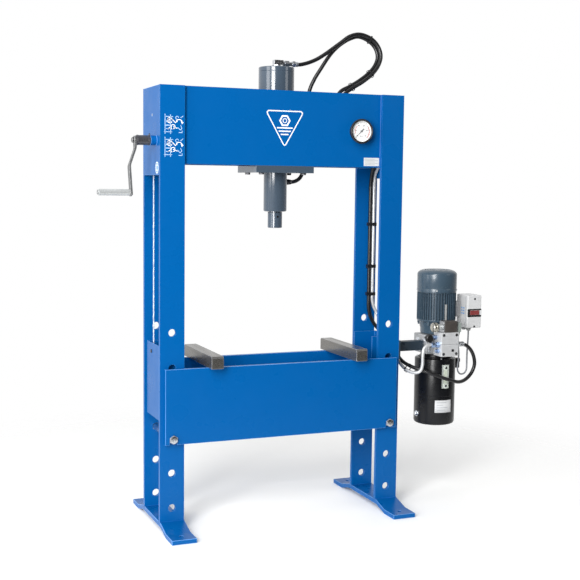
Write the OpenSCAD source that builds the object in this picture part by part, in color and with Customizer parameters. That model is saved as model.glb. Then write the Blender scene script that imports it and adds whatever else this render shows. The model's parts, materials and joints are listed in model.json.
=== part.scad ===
// Hydraulic shop press: a four-upright frame with a fixed crosshead, a height-adjustable
// table on two pins, a double-acting cylinder and an electric power unit beside the frame.
// Units are millimetres, +Z is up, +Y points to the back, and the origin lies on the floor
// at the middle of the four anchor holes.

/* [Frame] */
// Overall width across the uprights
frame_w = 1050; // [1000:10:1100]
// Depth from the front face of the front uprights to the back face of the rear ones
frame_d = 250; // [250:1:256]
// Height of the top of the uprights
frame_h = 1750; // [1740:5:1800]
// Width of each upright bar
bar_w = 100; // [90:1:104]
// Thickness of each upright bar
bar_t = 15; // [14:0.5:16]
// Thickness of the bent foot bars
foot_t = 18; // [15:1:20]
// How far the middle of a foot is raised off the floor
foot_rise = 21; // [15:1:25]
// Length of a foot, front to back
foot_len = 600; // [580:10:640]

/* [Pin holes] */
// Diameter of the pin holes in the uprights
hole_d = 30; // [30:0.5:31]
// Height of the lowest pin hole
hole_z0 = 93; // [90:1:95]
// Spacing of the pin holes
hole_pitch = 140; // [140:0.5:141]
// Number of pin holes in each upright
hole_count = 6; // [5:1:7]
// Diameter of the table pins
pin_d = 28; // [26:0.5:28]

/* [Crosshead] */
// Height of the crosshead plates
crosshead_h = 300; // [290:5:300]
// Thickness of the crosshead plates
crosshead_t = 15; // [12:1:15]
// Height of the bottom edge of the end plates
end_plate_z = 1406; // [1400:1:1410]

/* [Table] */
// Height of the table plates
table_h = 300; // [290:5:300]
// Length of the table plates
table_w = 1014; // [1000:2:1020]
// Thickness of the table plates
table_t = 16; // [14:1:16]
// Side of the square press blocks
block_side = 50; // [45:1:52]
// Length of the press blocks
block_len = 370; // [350:5:380]

/* [Cylinder] */
// Outer diameter of the barrel
barrel_d = 146; // [145:1:150]
// Bore of the barrel
bore_d = 125; // [120:1:125]
// Outer diameter of the gland housing under the crosshead
gland_d = 96; // [94:1:100]
// Diameter of the piston rod
rod_d = 56; // [50:1:56]
// Diameter of the ram nose
nose_d = 60; // [58:1:62]

/* [Power unit] */
// Distance of the power unit's axis from the middle of the press
unit_x = 775; // [775:1:780]
// Outer diameter of the oil tank
tank_d = 180; // [178:1:182]
// Outer diameter of the motor body
motor_d = 172; // [170:1:174]

/* [Hidden] */
$fn = 64;
FIT = 0.05;        // radial clearance of a running fit
half_w = frame_w / 2;
half_d = frame_d / 2;
gap_y = half_d - bar_t;                  // inner face of the upright bars
upright_x = half_w - bar_w / 2;
upright_y = half_d - bar_t / 2;
foot_top = foot_rise + foot_t;
anchor_d = 18;
anchor_y = foot_len / 2 - 45;
foot_flat = 135;                         // half length of the raised middle
foot_ramp = 80;

head_z = frame_h - crosshead_h;          // bottom edge of the crosshead plates
head_end_t = 10;
head_x = half_w - head_end_t;            // inner face of the end plates
head_in = gap_y - crosshead_t;           // inner face of the crosshead plates

mount_t = 28;                            // cylinder mounting plate
mount_z = head_z;
mount_w = 250;
bolt_x = 92;
bolt_y = 80;
flange_t = 26;
barrel_top = 1850;
cap_t = 18;
gland_z = 1264;
gland_flange_z = mount_z + flange_t;
gland_flange_t = 15;
bush_d = 72;
bush_z = 1285;
rod_z = 1262;
nose_z = 1197;
spigot_d = 40;
piston_z = 1784;
piston_t = 44;
port_z = 1386;                           // rod-side port
port_end = [60, 20];                     // where its elbow ends

winch_y = -67;
winch_z = 1539;
shaft_d = 20;
tube_d = 38;
tube_x = -549;                           // outer end of the tube welded to the end plate
brake_x = -604;
hub_t = 8;
hub_x = brake_x - 1 - hub_t;
arm_w = 26;
arm_t = 8;
arm_len = 208;
arm_tilt = 15;                           // lean of the hanging crank towards the front
arm_step = 28;                           // outward offset of the lower half of the arm
grip_d = 25;
grip_len = 118;
axle_d = 12;

rope_d = 6;
rope_r = 18;                             // from the reel's axis to the rope
lift_x = -508;                           // the left lifting rope hangs here
lift_y = 28;
cross_x = -480;                          // groove of the rope that crosses to the right
cross_y = winch_y - rope_r;
cross_z = 1486;
right_x = 506;                           // the right lifting rope hangs here
lift_sheave_r = (lift_y - (winch_y + rope_r)) / 2;
lift_sheave_y = (lift_y + winch_y + rope_r) / 2;
lift_sheave_z = 1640;
cross_sheave_r = 16;
low_sheave = [cross_x + cross_sheave_r, cross_z + cross_sheave_r];
high_sheave = [right_x - cross_sheave_r, cross_z - cross_sheave_r];
sheave_t = 10;
rope_eye_z = 704;                        // rope ends, inside the table guides

table_z = 351;                           // bottom edge of the table plates
table_top = table_z + table_h;
table_y = gap_y + bar_t + 3;             // inner face of the table plates
pin_z = hole_z0 + 2 * hole_pitch;
rest_gap = 0.3;                          // between a pin and the notch that rests on it
guide_x = 519;
guide_t = 6;
guide_y = 88;
guide_z = 441;
guide_h = 296;
spacer_x = 410;
spacer_t = 10;
spacer_h = 240;
block_x = 308;
block_right_x = 320;

gauge_x = 322;
gauge_z = 1596;
gauge_d = 101;
gauge_front = 40;                        // how far the gauge stands off the plate
manifold_x0 = 205;
manifold_x1 = 345;

tank_z = 327;
tank_top = 620;
tank_wall = 4;
neck_d = 130;                            // opening in the tank lid, filled by the pump block
unit_block = [[690, -70, 645], [855, 45, 727]];
bell_z = 784;
cowl_z = 915;
cowl_top = 1009;
shell_t = 3;
valve = [[725, -140, 641], [810, -70, 746]];
coil = [[735, -140, 746], [804, -99, 796]];
plug = [[804, -132, 746], [826, -108, 786]];
plug_spout = [[810.5, -132, 728], [826, -108, 748]];
coil_nut_d = 42;
coil_nut_y = -120;
coil_nut_z = 769;
knob_d = 36;
knob_x = 685;
knob_z = 719;
case_box = [[893, -70, 751], [965, 25, 897]];
gland_x = 915;
rocker_mid = [929, -70, 820];
rocker_size = [46, 8, 21];
filler = [886, 0, 592];
drain_turn = 183;

hose_d = 16;
line_d = 14;
cable_d = 7;

// Hose and pipe routes: points along each centre line, in order of flow.
HOSE_TOP = [
    [76, 0, 1867], [102, 0, 1867], [138, -1, 1876], [176, -3, 1892], [213, -6, 1915],
    [245, -8, 1938], [280, -12, 1964], [320, -18, 1993], [364, -24, 2003], [412, -30, 1988],
    [443, -36, 1957], [454, -42, 1917], [440, -48, 1876], [408, -54, 1838], [362, -60, 1804],
    [316, -66, 1778], [278, -70, 1752], [257, -73, 1720], [250, -74, 1684], [250, -74, 1650]
];
HOSE_LOWER = [
    [60, 20, 1386], [84, 28, 1386], [107, 36, 1391], [128, 45, 1403], [144, 54, 1425],
    [152, 59, 1454], [155, 60, 1490], [152, 52, 1560], [150, 30, 1670], [152, 14, 1756],
    [172, 10, 1809], [202, 8, 1857], [231, 8, 1900], [259, 8, 1934], [290, 4, 1962],
    [326, -1, 1984], [364, -8, 1995], [406, -14, 1981], [436, -20, 1953], [446, -26, 1916],
    [433, -32, 1880], [402, -38, 1845], [357, -44, 1812], [310, -51, 1785], [264, -60, 1762],
    [236, -70, 1728], [225, -74, 1690], [225, -74, 1650]
];
HOSE_SUPPLY = [
    [365, -74, 1612], [395, -74, 1612], [436, -58, 1594], [464, -15, 1552], [480, 40, 1498],
    [488, 84, 1438], [489, 101, 1376], [489, 101, 850], [496, 100, 808], [516, 98, 768],
    [543, 87, 732], [570, 58, 688], [588, 24, 646], [602, -12, 612], [622, -50, 594],
    [650, -86, 582], [688, -112, 568], [732, -124, 551], [784, -124, 534], [834, -108, 521],
    [882, -86, 526], [918, -76, 552], [932, -77, 590], [922, -82, 630], [900, -91, 660],
    [874, -97, 680], [850, -100, 687], [838, -100, 688], [830, -100, 688]
];
STEEL_PIPE = [
    [355, -74, 1588], [398, -74, 1588], [440, -62, 1572], [472, -20, 1528], [496, 34, 1466],
    [505, 88, 1426], [506, 101, 1376], [506, 101, 880], [513, 101, 846], [529, 97, 812],
    [541, 82, 782], [548, 62, 752], [556, 36, 712], [568, 4, 660], [582, -30, 606], [600, -68, 578],
    [622, -100, 572], [638, -114, 582], [645, -118, 608], [646, -118, 652], [652, -117, 678],
    [674, -115, 692], [702, -115, 692]
];
CABLE_VALVE = [
    [915, -45, 737], [915, -45, 716], [912, -48, 684], [907, -53, 650], [904, -57, 614],
    [903, -59, 588], [901, -61, 568], [895, -63, 557], [886, -64, 549], [875, -65, 547],
    [864, -67, 549], [855, -69, 557], [849, -71, 568], [847, -74, 588], [844, -84, 616],
    [838, -96, 642], [828, -110, 664], [819, -119, 688], [815, -120, 708], [815, -120, 728]
];

// ---- shared shapes ----

module span_box(a, b) { translate(a) cube(b - a); }

module rod_x(d, x0, x1, y, z) {
    translate([x0, y, z]) rotate([0, 90, 0]) cylinder(d = d, h = x1 - x0);
}

module rod_y(d, y0, y1, x, z) {
    translate([x, y0, z]) rotate([-90, 0, 0]) cylinder(d = d, h = y1 - y0);
}

module rod_z(d, z0, z1, x = 0, y = 0) {
    translate([x, y, z0]) cylinder(d = d, h = z1 - z0);
}

function unit(v) = v / norm(v);
function tangent(path, i) =
    unit(path[min(i + 1, len(path) - 1)] - path[max(i - 1, 0)]);
// A side vector that never turns over, because no route runs along this reference.
function side(t) = unit(cross(t, [0.15, 1, 0.1]));
function ring(c, t, r, sides) = [
    for (k = [0:sides - 1])
        c + r * (cos(360 * k / sides) * side(t) + sin(360 * k / sides) * cross(t, side(t)))
];

// A round tube swept along the points of a route, square to it at both ends.
module swept_tube(path, d, sides) {
    rings = [for (i = [0:len(path) - 1]) ring(path[i], tangent(path, i), d / 2, sides)];
    last = len(path) - 1;
    points = [for (r = rings, p = r) p];
    skin = [
        for (i = [0:last - 1], k = [0:sides - 1])
            let (a = i * sides + k, b = i * sides + (k + 1) % sides)
            each [[a, b, b + sides], [a, b + sides, a + sides]]
    ];
    first_cap = [for (k = [sides - 1:-1:0]) k];
    last_cap = [for (k = [0:sides - 1]) last * sides + k];
    polyhedron(points, concat([first_cap], skin, [last_cap]));
}

// ---- frame ----

module upright(x_side, y_side) {
    x = x_side * upright_x;
    y = y_side * upright_y;
    color("royalblue") difference() {
        span_box([x - bar_w / 2, y - bar_t / 2, foot_top], [x + bar_w / 2, y + bar_t / 2, frame_h]);
        for (k = [0:hole_count - 1])
            rod_y(hole_d, y - bar_t, y + bar_t, x, hole_z0 + k * hole_pitch);
    }
}

module upright_front_left() { upright(-1, -1); }
module upright_front_right() { upright(1, -1); }
module upright_rear_left() { upright(-1, 1); }
module upright_rear_right() { upright(1, 1); }

// A bent flat bar: raised in the middle, flat on the floor at both ends.
module foot(x_side) {
    x = x_side * upright_x;
    reach = foot_len / 2;
    ramp_end = foot_flat + foot_ramp;
    lift = foot_t * 0.13;
    color("royalblue") difference() {
        translate([x + bar_w / 2, 0, 0]) rotate([90, 0, -90]) linear_extrude(bar_w) polygon([
            [-reach, 0], [-ramp_end, 0], [-foot_flat, foot_rise], [foot_flat, foot_rise],
            [ramp_end, 0], [reach, 0], [reach, foot_t], [ramp_end - lift, foot_t],
            [foot_flat - lift, foot_top], [lift - foot_flat, foot_top],
            [lift - ramp_end, foot_t], [-reach, foot_t]
        ]);
        for (s = [-1, 1]) rod_z(anchor_d, -1, foot_t + 1, x, s * anchor_y);
    }
}

module foot_left() { foot(-1); }
module foot_right() { foot(1); }

// ---- crosshead ----

module crosshead_plate(y0) {
    span_box([-head_x, y0, head_z], [head_x, y0 + crosshead_t, frame_h]);
}

module crosshead_front() {
    color("royalblue") difference() {
        crosshead_plate(-gap_y);
        rod_y(30, -gap_y - 1, -head_in + 1, gauge_x, gauge_z);
        for (s = [low_sheave, high_sheave])
            if (s[1] > head_z + axle_d) rod_y(axle_d, -gap_y - 1, -head_in + 1, s[0], s[1]);
    }
}

module crosshead_rear() { color("royalblue") crosshead_plate(head_in); }

module crosshead_ends() {
    color("royalblue") {
        difference() {
            union() {
                span_box([-half_w, -gap_y, end_plate_z], [-head_x, gap_y, frame_h]);
                rod_x(tube_d, tube_x, -head_x, winch_y, winch_z);
            }
            rod_x(shaft_d + 2 * FIT, tube_x - 1, -head_x + 1, winch_y, winch_z);
            rod_x(axle_d, -half_w - 1, -head_x + 1, lift_sheave_y, lift_sheave_z);
        }
        span_box([head_x, -gap_y, end_plate_z], [half_w, gap_y, frame_h]);
    }
}

// ---- cylinder ----

module cylinder_plate() {
    color("slategray") difference() {
        span_box([-mount_w / 2, -gap_y, mount_z - mount_t], [mount_w / 2, gap_y, mount_z]);
        rod_z(gland_d + 0.4, mount_z - mount_t - 1, mount_z + 1);
        for (x = [-bolt_x, bolt_x], y = [-bolt_y, bolt_y])
            rod_z(12.5, mount_z - mount_t - 1, mount_z + 1, x, y);
    }
}

// Four hexagon bolts that hold the plate up against the barrel's flange.
module plate_bolts() {
    head = 7.5;
    color("dimgray") for (x = [-bolt_x, bolt_x], y = [-bolt_y, bolt_y]) {
        rod_z(12, mount_z - mount_t, mount_z + 18, x, y);
        translate([x, y, mount_z - mount_t - head]) cylinder(d = 21, h = head, $fn = 6);
    }
}

module cylinder_barrel() {
    cap_z = barrel_top - cap_t;
    color("slategray") difference() {
        union() {
            rod_z(barrel_d, mount_z, barrel_top);
            span_box([-mount_w / 2 + 20, -head_in + 7, mount_z],
                     [mount_w / 2 - 20, head_in - 7, mount_z + flange_t]);
        }
        rod_z(gland_d + 0.4, mount_z - 1, gland_flange_z + 1);
        rod_z(bore_d, gland_flange_z, cap_z);
        rod_z(16, cap_z - 1, barrel_top + 1);
        for (x = [-bolt_x, bolt_x], y = [-bolt_y, bolt_y]) rod_z(12.2, mount_z - 1, mount_z + 19, x, y);
    }
}

// Places its children at the rod-side port: local +X points out of the housing.
module on_port() {
    translate([0, 0, port_z]) rotate([0, 0, atan2(port_end[1], port_end[0])]) children();
}

module gland_housing() {
    edge = 5;
    color("slategray") difference() {
        rotate_extrude($fn = 96) polygon([
            [rod_d / 2 + 0.5, gland_z], [gland_d / 2 - edge, gland_z], [gland_d / 2 - 1.5, gland_z + 1.5],
            [gland_d / 2, gland_z + edge], [gland_d / 2, gland_flange_z],
            [bore_d / 2 - 0.2, gland_flange_z], [bore_d / 2 - 0.2, gland_flange_z + gland_flange_t],
            [rod_d / 2 + 0.5, gland_flange_z + gland_flange_t]
        ]);
        rod_z(bush_d, bush_z, mount_z);
        on_port() rod_x(10, rod_d / 2 + 0.5, gland_d, 0, 0);
    }
}

module gland_bush() {
    color("darkgoldenrod") difference() {
        rod_z(bush_d, bush_z, bush_z + 80);
        rod_z(rod_d + 2 * FIT, bush_z - 1, bush_z + 81);
    }
}

module piston_rod() {
    color("silver") {
        rod_z(rod_d, rod_z, piston_z);
        rod_z(spigot_d, nose_z + 8, rod_z);
    }
}

module piston() {
    groove = 3;
    color("gray") difference() {
        rod_z(bore_d - 2 * FIT, piston_z, piston_z + piston_t);
        for (z = [10, 26]) difference() {
            rod_z(bore_d + 2, piston_z + z, piston_z + z + 7);
            rod_z(bore_d - 2 * groove, piston_z + z - 1, piston_z + z + 8);
        }
    }
}

module ram_nose() {
    color("slategray") difference() {
        rod_z(nose_d, nose_z, rod_z - 0.2);
        rod_z(spigot_d, nose_z + 8, rod_z);
    }
}

// Elbows on the cap port and on the rod-side port.
module port_fittings() {
    color("silver") {
        difference() {
            union() {
                rod_z(34, barrel_top, barrel_top + 6);
                span_box([-16, -15, barrel_top + 6], [28, 15, barrel_top + 32]);
                rod_x(22, 28, 64, 0, 1867);
                rod_x(18, 64, 76, 0, 1867);
            }
            rod_z(8, barrel_top - 1, 1868);
        }
        on_port() difference() {
            rod_x(20, gland_d / 2 - 2, norm(port_end), 0, 0);
            rod_z(gland_d, -20, 20);
        }
    }
}

// ---- pressure gauge ----

module gauge_case() {
    y_front = -gap_y - gauge_front;
    color("black") difference() {
        union() {
            rod_y(gauge_d, y_front, y_front + 12, gauge_x, gauge_z);
            rod_y(gauge_d - 7, y_front + 12, -gap_y, gauge_x, gauge_z);
            rod_y(22, -gap_y, -head_in, gauge_x, gauge_z);
        }
        rod_y(gauge_d - 14, y_front - 1, y_front + 16, gauge_x, gauge_z);
    }
}

module gauge_glass() {
    y = -gap_y - gauge_front + 3;
    color("lightcyan", 0.4) rod_y(gauge_d - 14, y, y + 3, gauge_x, gauge_z);
}

// The needle rests at the lower left and its short tail points to the upper right.
module gauge_pointer() {
    y = -gap_y - gauge_front + 8;
    color("black") translate([gauge_x, y, gauge_z]) {
        rod_y(9, -1, 3, 0, 0);
        rod_y(3, 3, 7.6, 0, 0);
        rotate([0, 45, 0]) span_box([-36, 0, -1.2], [0, 1.5, 1.2]);
        rotate([0, 45, 0]) span_box([0, 0, -1.8], [15, 1.5, 1.8]);
    }
}

// Junction block behind the gauge: two hoses come in at the top, two lines leave at the side.
module gauge_block() {
    color("gray") {
        span_box([manifold_x0, -head_in, 1575], [manifold_x1, -54, 1625]);
        for (x = [225, 250]) rod_z(20, 1625, 1650, x, -74);
        rod_x(20, manifold_x1, 365, -74, 1612);
        rod_x(16, manifold_x1, 355, -74, 1588);
    }
}

// ---- table lift ----

module winch_brake() {
    color("dimgray") difference() {
        rod_x(tube_d, brake_x, tube_x, winch_y, winch_z);
        rod_x(shaft_d + 2 * FIT, brake_x - 1, tube_x + 1, winch_y, winch_z);
    }
}

// Places its children on the crank: local -Z runs down the arm, local -X points outwards.
module on_crank() {
    translate([0, winch_y, winch_z]) rotate([-arm_tilt, 0, 0]) children();
}

module crank_arm() {
    straight = 30;
    bend = 75;
    outer_x = hub_x - arm_step;
    color("darkgray") on_crank() difference() {
        union() {
            rod_x(32, hub_x, hub_x + hub_t, 0, 0);
            translate([0, arm_w / 2, 0]) rotate([90, 0, 0]) linear_extrude(arm_w) polygon([
                [hub_x, 4], [hub_x + arm_t, 4], [hub_x + arm_t, -straight],
                [outer_x + arm_t, -straight - bend], [outer_x + arm_t, -arm_len - 12],
                [outer_x, -arm_len - 12], [outer_x, -straight - bend], [hub_x, -straight]
            ]);
            rod_x(14, outer_x - grip_len - 5, outer_x, 0, -arm_len);
            rod_x(18, outer_x - grip_len - 8, outer_x - grip_len - 5, 0, -arm_len);
        }
        rod_x(shaft_d, hub_x - 1, hub_x + hub_t + 1, 0, 0);
    }
}

module crank_grip() {
    outer_x = hub_x - arm_step;
    color("gainsboro") on_crank() difference() {
        rod_x(grip_d, outer_x - grip_len - 4.5, outer_x - 0.5, 0, -arm_len);
        rod_x(14 + 2 * FIT, outer_x - grip_len - 6, outer_x, 0, -arm_len);
    }
}

// The winch shaft with its two rope grooves.
module winch_reel() {
    core = 2 * rope_r - rope_d;
    color("gray") {
        rod_x(shaft_d, hub_x - 6, lift_x - 3, winch_y, winch_z);
        rod_x(core, lift_x - 3, cross_x + 8, winch_y, winch_z);
        rod_x(core + 18, cross_x - 14, cross_x - 11, winch_y, winch_z);
        rod_x(core + 8, cross_x + 8, cross_x + 11, winch_y, winch_z);
    }
}

// A grooved rope wheel about +Z, centred on the origin.
module sheave(rope_radius, bore) {
    rim = rope_radius + 3;
    color("gray") rotate_extrude() polygon([
        [bore / 2 + FIT, -sheave_t / 2], [rim, -sheave_t / 2], [rim, -sheave_t / 2 + 2],
        [rope_radius - rope_d / 2 - 0.3, -1], [rope_radius - rope_d / 2 - 0.3, 1],
        [rim, sheave_t / 2 - 2], [rim, sheave_t / 2], [bore / 2 + FIT, sheave_t / 2]
    ]);
}

module guide_sheave() {
    translate([lift_x, lift_sheave_y, lift_sheave_z]) rotate([0, 90, 0])
        sheave(lift_sheave_r, axle_d);
}

module cross_sheave(at) {
    translate([at[0], cross_y, at[1]]) rotate([90, 0, 0]) sheave(cross_sheave_r, axle_d);
}

module cross_sheave_left() { cross_sheave(low_sheave); }
module cross_sheave_right() { cross_sheave(high_sheave); }

module sheave_axles() {
    color("silver") {
        rod_x(axle_d, -half_w, lift_x + 18, lift_sheave_y, lift_sheave_z);
        for (s = [low_sheave, high_sheave]) rod_y(axle_d, -gap_y, cross_y + 10, s[0], s[1]);
    }
}

// The lifting ropes are simple rods: each hangs from its sheave down to its table guide.
module rope_left() { color("lightgray") rod_z(rope_d, rope_eye_z, 1608, lift_x, lift_y); }

module rope_right() {
    color("lightgray") rod_z(rope_d, rope_eye_z, high_sheave[1] - 24, right_x, cross_y);
}

module rope_cross() {
    color("lightgray")
        rod_x(rope_d, low_sheave[0] + 24, high_sheave[0] - 24, cross_y, cross_z);
}

// ---- table ----

// A table plate whose two notches, open at the bottom, sit on the pins.
module table_plate(y0) {
    notch_z = pin_z - (hole_d - pin_d) / 2 + rest_gap;
    color("royalblue") difference() {
        span_box([-table_w / 2, y0, table_z], [table_w / 2, y0 + table_t, table_top]);
        for (x = [-upright_x, upright_x]) {
            rod_y(hole_d, y0 - 1, y0 + table_t + 1, x, notch_z);
            span_box([x - hole_d / 2, y0 - 1, table_z - 1], [x + hole_d / 2, y0 + table_t + 1, notch_z]);
        }
    }
}

module table_front() { table_plate(-table_y - table_t); }
module table_rear() { table_plate(table_y); }

// Channels that run between the front and rear uprights and keep the table level.
module table_guides() {
    color("royalblue") difference() {
        for (s = [0, 1]) mirror([s, 0, 0]) difference() {
            span_box([-guide_x, -guide_y, guide_z], [-spacer_x - spacer_t / 2, guide_y, guide_z + guide_h]);
            span_box([-guide_x + guide_t, -guide_y + guide_t, guide_z - 1],
                     [-spacer_x + 1, guide_y - guide_t, guide_z + guide_h + 1]);
        }
        rod_z(rope_d + 3, rope_eye_z - 4, guide_z + guide_h + 1, right_x, cross_y);
    }
}

// Cross plates between the two table plates, just inside the uprights.
module table_spacers() {
    z0 = guide_z - 60;
    color("royalblue") for (s = [-1, 1])
        span_box([s * spacer_x - spacer_t / 2, -table_y, z0],
                 [s * spacer_x + spacer_t / 2, table_y, z0 + spacer_h]);
}

module table_pin(x) {
    y_end = table_y + table_t;
    head_t = 9;
    color("silver") difference() {
        union() {
            rod_y(pin_d, -y_end - 5, y_end + 18, x, pin_z);
            translate([x, -y_end - 3 - head_t, pin_z]) rotate([-90, 30, 0])
                cylinder(d = 37, h = head_t, $fn = 6);
        }
        rod_y(6, -y_end - 3 - head_t - 1, -y_end, x, pin_z);
    }
}

module pin_left() { table_pin(-upright_x); }
module pin_right() { table_pin(upright_x); }

// A loose square steel bar that carries the work, chamfered at both ends.
module press_block(x) {
    reach = block_len / 2;
    cut = 6;
    color("gray") translate([x - block_side / 2, 0, table_top]) rotate([90, 0, 90])
        linear_extrude(block_side) polygon([
            [-reach - 4, 0], [reach - 4, 0], [reach - 4, block_side - cut],
            [reach - 4 - cut, block_side], [-reach - 4 + cut, block_side], [-reach - 4, block_side - cut]
        ]);
}

module block_left() { press_block(-block_x); }
module block_right() { press_block(block_right_x); }

// ---- power unit ----

// A plate across the right uprights with an arm that carries the pump block.
module unit_bracket() {
    plate_t = 8;
    plate = [[half_w, -half_d, 640], [half_w + plate_t, 70, 720]];
    color("darkslategray") {
        span_box(plate[0], plate[1]);
        for (y = [-46, -22]) span_box([half_w, y, 660], [unit_block[0][0], y + 12, 702]);
    }
}

module tank() {
    r = tank_d / 2;
    color([0.08, 0.08, 0.09]) {
        translate([unit_x, 0, 0]) rotate_extrude($fn = 96) polygon([
            [0, tank_z], [r - 8, tank_z], [r, tank_z + 10], [r, tank_top - 5],
            [r - 5, tank_top], [neck_d / 2 + 0.2, tank_top], [neck_d / 2 + 0.2, tank_top - 5],
            [r - tank_wall, tank_top - 5], [r - tank_wall, tank_z + 5], [0, tank_z + 5]
        ]);
        difference() {
            union() {
                rod_x(22, unit_x + r - 3, filler[0] + 8, 0, filler[2] - 14);
                rod_z(26, filler[2] - 26, filler[2], filler[0]);
            }
            rod_z(19, filler[2] - 20, filler[2] + 1, filler[0]);
        }
        translate([unit_x, 0, 371]) rotate([0, 0, drain_turn])
            rod_x(20, r - 2, r + 9, 0, 0);
    }
}

// Gear pump and suction strainer, hanging in the oil under the pump block.
module pump() {
    color("silver") {
        rod_z(96, 556, tank_top - 8, unit_x);
        rod_z(20, 388, 556, unit_x + 26);
        rod_z(60, 340, 388, unit_x + 26);
    }
}

module manifold() {
    color("lightgray") difference() {
        union() {
            span_box(unit_block[0], unit_block[1]);
            rod_z(neck_d, tank_top - 8, unit_block[0][2], unit_x);
            rod_z(neck_d + 12, tank_top + 0.2, tank_top + 13, unit_x);
        }
        rod_z(30, unit_block[0][2] - 13, unit_block[1][2] + 1, unit_x);
    }
}

module motor_body() {
    bell = unit_block[1][2];
    r = motor_d / 2;
    color("slategray") {
        translate([unit_x, 0, 0]) rotate_extrude($fn = 96) polygon([
            [26, bell], [62, bell], [69, bell + 4], [69.5, bell + 23], [r - 8, bell_z - 4], [r, bell_z + 2],
            [r, cowl_z], [r - 14, cowl_z], [r - 14, bell_z], [26, bell_z - 10]
        ]);
        span_box([unit_x + r - 6, 0, 796], [case_box[0][0], 24, 866]);
    }
}

module fan_cowl() {
    r = motor_d / 2 + 1;
    flat = motor_d / 2 - 20;
    color("slategray") {
        translate([unit_x, 0, 0]) rotate_extrude($fn = 96) polygon([
            [r - shell_t, cowl_z], [r, cowl_z], [r, cowl_top - 18], [flat, cowl_top],
            [30, cowl_top], [30, cowl_top - shell_t], [flat - 1, cowl_top - shell_t],
            [r - shell_t, cowl_top - 19]
        ]);
        difference() {
            rod_z(62, cowl_top - shell_t, cowl_top, unit_x);
            for (a = [0:45:315]) rotate_about_unit(a) rod_z(9, cowl_top - 5, cowl_top + 1, unit_x + 19);
        }
    }
}

module rotate_about_unit(a) {
    translate([unit_x, 0, 0]) rotate([0, 0, a]) translate([-unit_x, 0, 0]) children();
}

// Motor shaft, rotor core and the cooling fan on top.
module motor_rotor() {
    color("silver") {
        rod_z(24, 650, 985, unit_x);
        rod_z(100, 790, 895, unit_x);
    }
    color("gray") {
        rod_z(150, 930, 935, unit_x);
        for (a = [0:45:315]) rotate_about_unit(a)
            span_box([unit_x + 30, -1.5, 934], [unit_x + 76, 1.5, 975]);
    }
}

module control_box() {
    mouth = [rocker_size[0] + 5, 16, rocker_size[2] + 5];
    color("gainsboro") {
        difference() {
            span_box(case_box[0], case_box[1]);
            translate(rocker_mid - [mouth[0] / 2, 1, mouth[2] / 2]) cube(mouth);
        }
    }
    color("dimgray") {
        for (y = [-45, -5]) rod_z(22, case_box[0][2] - 14, case_box[0][2], gland_x, y);
    }
}

module rocker() {
    color("firebrick") {
        translate(rocker_mid + [-rocker_size[0] / 2, -3, -rocker_size[2] / 2]) cube(rocker_size);
        rod_z(5, rocker_mid[2] - 12.5, rocker_mid[2] + 12.5, rocker_mid[0], -66);
    }
}

module valve_block() {
    color("lightgray") {
        span_box(valve[0], valve[1]);
        rod_x(22, valve[1][0], 830, -100, 688);
        rod_x(24, 702, valve[0][0], -115, 692);
        rod_x(18, 708, valve[0][0], -115, 664);
        rod_x(18, 707, valve[0][0], -92, 722);
    }
}

module solenoid() {
    color([0.3, 0.26, 0.24]) span_box(coil[0], coil[1]);
    color("darkgoldenrod") {
        rod_x(coil_nut_d, coil[0][0] - 47, coil[0][0] - 24, coil_nut_y, coil_nut_z);
        rod_x(24, coil[0][0] - 25, coil[0][0], coil_nut_y, coil_nut_z);
    }
    color("gray") {
        span_box(plug[0], plug[1]);
        span_box(plug_spout[0], plug_spout[1]);
    }
}

module relief_knob() {
    color([0.12, 0.12, 0.14]) {
        rod_y(knob_d, -112, -90, knob_x, knob_z);
        rod_y(14, -90, -70.3, knob_x, knob_z);
    }
}

module level_gauge() {
    y = -tank_d / 2;
    color("honeydew") difference() {
        span_box([unit_x - 16, y - 10, 492], [unit_x + 16, y + 12, 598]);
        rod_z(tank_d, 480, 610, unit_x);
    }
}

module filler_cap() {
    color([0.1, 0.1, 0.1]) {
        rod_z(32, filler[2] + 0.2, filler[2] + 18, filler[0]);
        rod_z(18, filler[2] - 10, filler[2] + 0.2, filler[0]);
    }
}

// ---- hoses, pipe and cable ----

module hose_top() { color([0.1, 0.1, 0.11]) swept_tube(HOSE_TOP, hose_d, 10); }
module hose_lower() { color([0.1, 0.1, 0.11]) swept_tube(HOSE_LOWER, hose_d, 10); }
module hose_supply() { color([0.1, 0.1, 0.11]) swept_tube(HOSE_SUPPLY, hose_d, 10); }
module steel_pipe() { color("silver") swept_tube(STEEL_PIPE, line_d, 10); }
module cable_valve() { color("gray") swept_tube(CABLE_VALVE, cable_d, 8); }

upright_front_left();
upright_front_right();
upright_rear_left();
upright_rear_right();
foot_left();
foot_right();
crosshead_front();
crosshead_rear();
crosshead_ends();
cylinder_plate();
plate_bolts();
cylinder_barrel();
gland_housing();
gland_bush();
piston_rod();
piston();
ram_nose();
port_fittings();
gauge_case();
gauge_glass();
gauge_pointer();
gauge_block();
winch_brake();
crank_arm();
winch_reel();
crank_grip();
guide_sheave();
cross_sheave_left();
cross_sheave_right();
sheave_axles();
rope_left();
rope_right();
rope_cross();
table_front();
table_rear();
table_guides();
table_spacers();
pin_left();
pin_right();
block_left();
block_right();
unit_bracket();
tank();
pump();
manifold();
motor_body();
fan_cowl();
motor_rotor();
control_box();
rocker();
valve_block();
solenoid();
relief_knob();
level_gauge();
filler_cap();
hose_top();
hose_lower();
hose_supply();
steel_pipe();
cable_valve();
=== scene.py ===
"""Hydraulic shop press: the visual model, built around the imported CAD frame.

Sizes and places are in millimetres; piece() turns them into metres. Every moving piece rides on the
body of the CAD node that it stands for.
"""

import json
import math
import random

import bmesh
import bpy
from mathutils import Matrix, Vector


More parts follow.
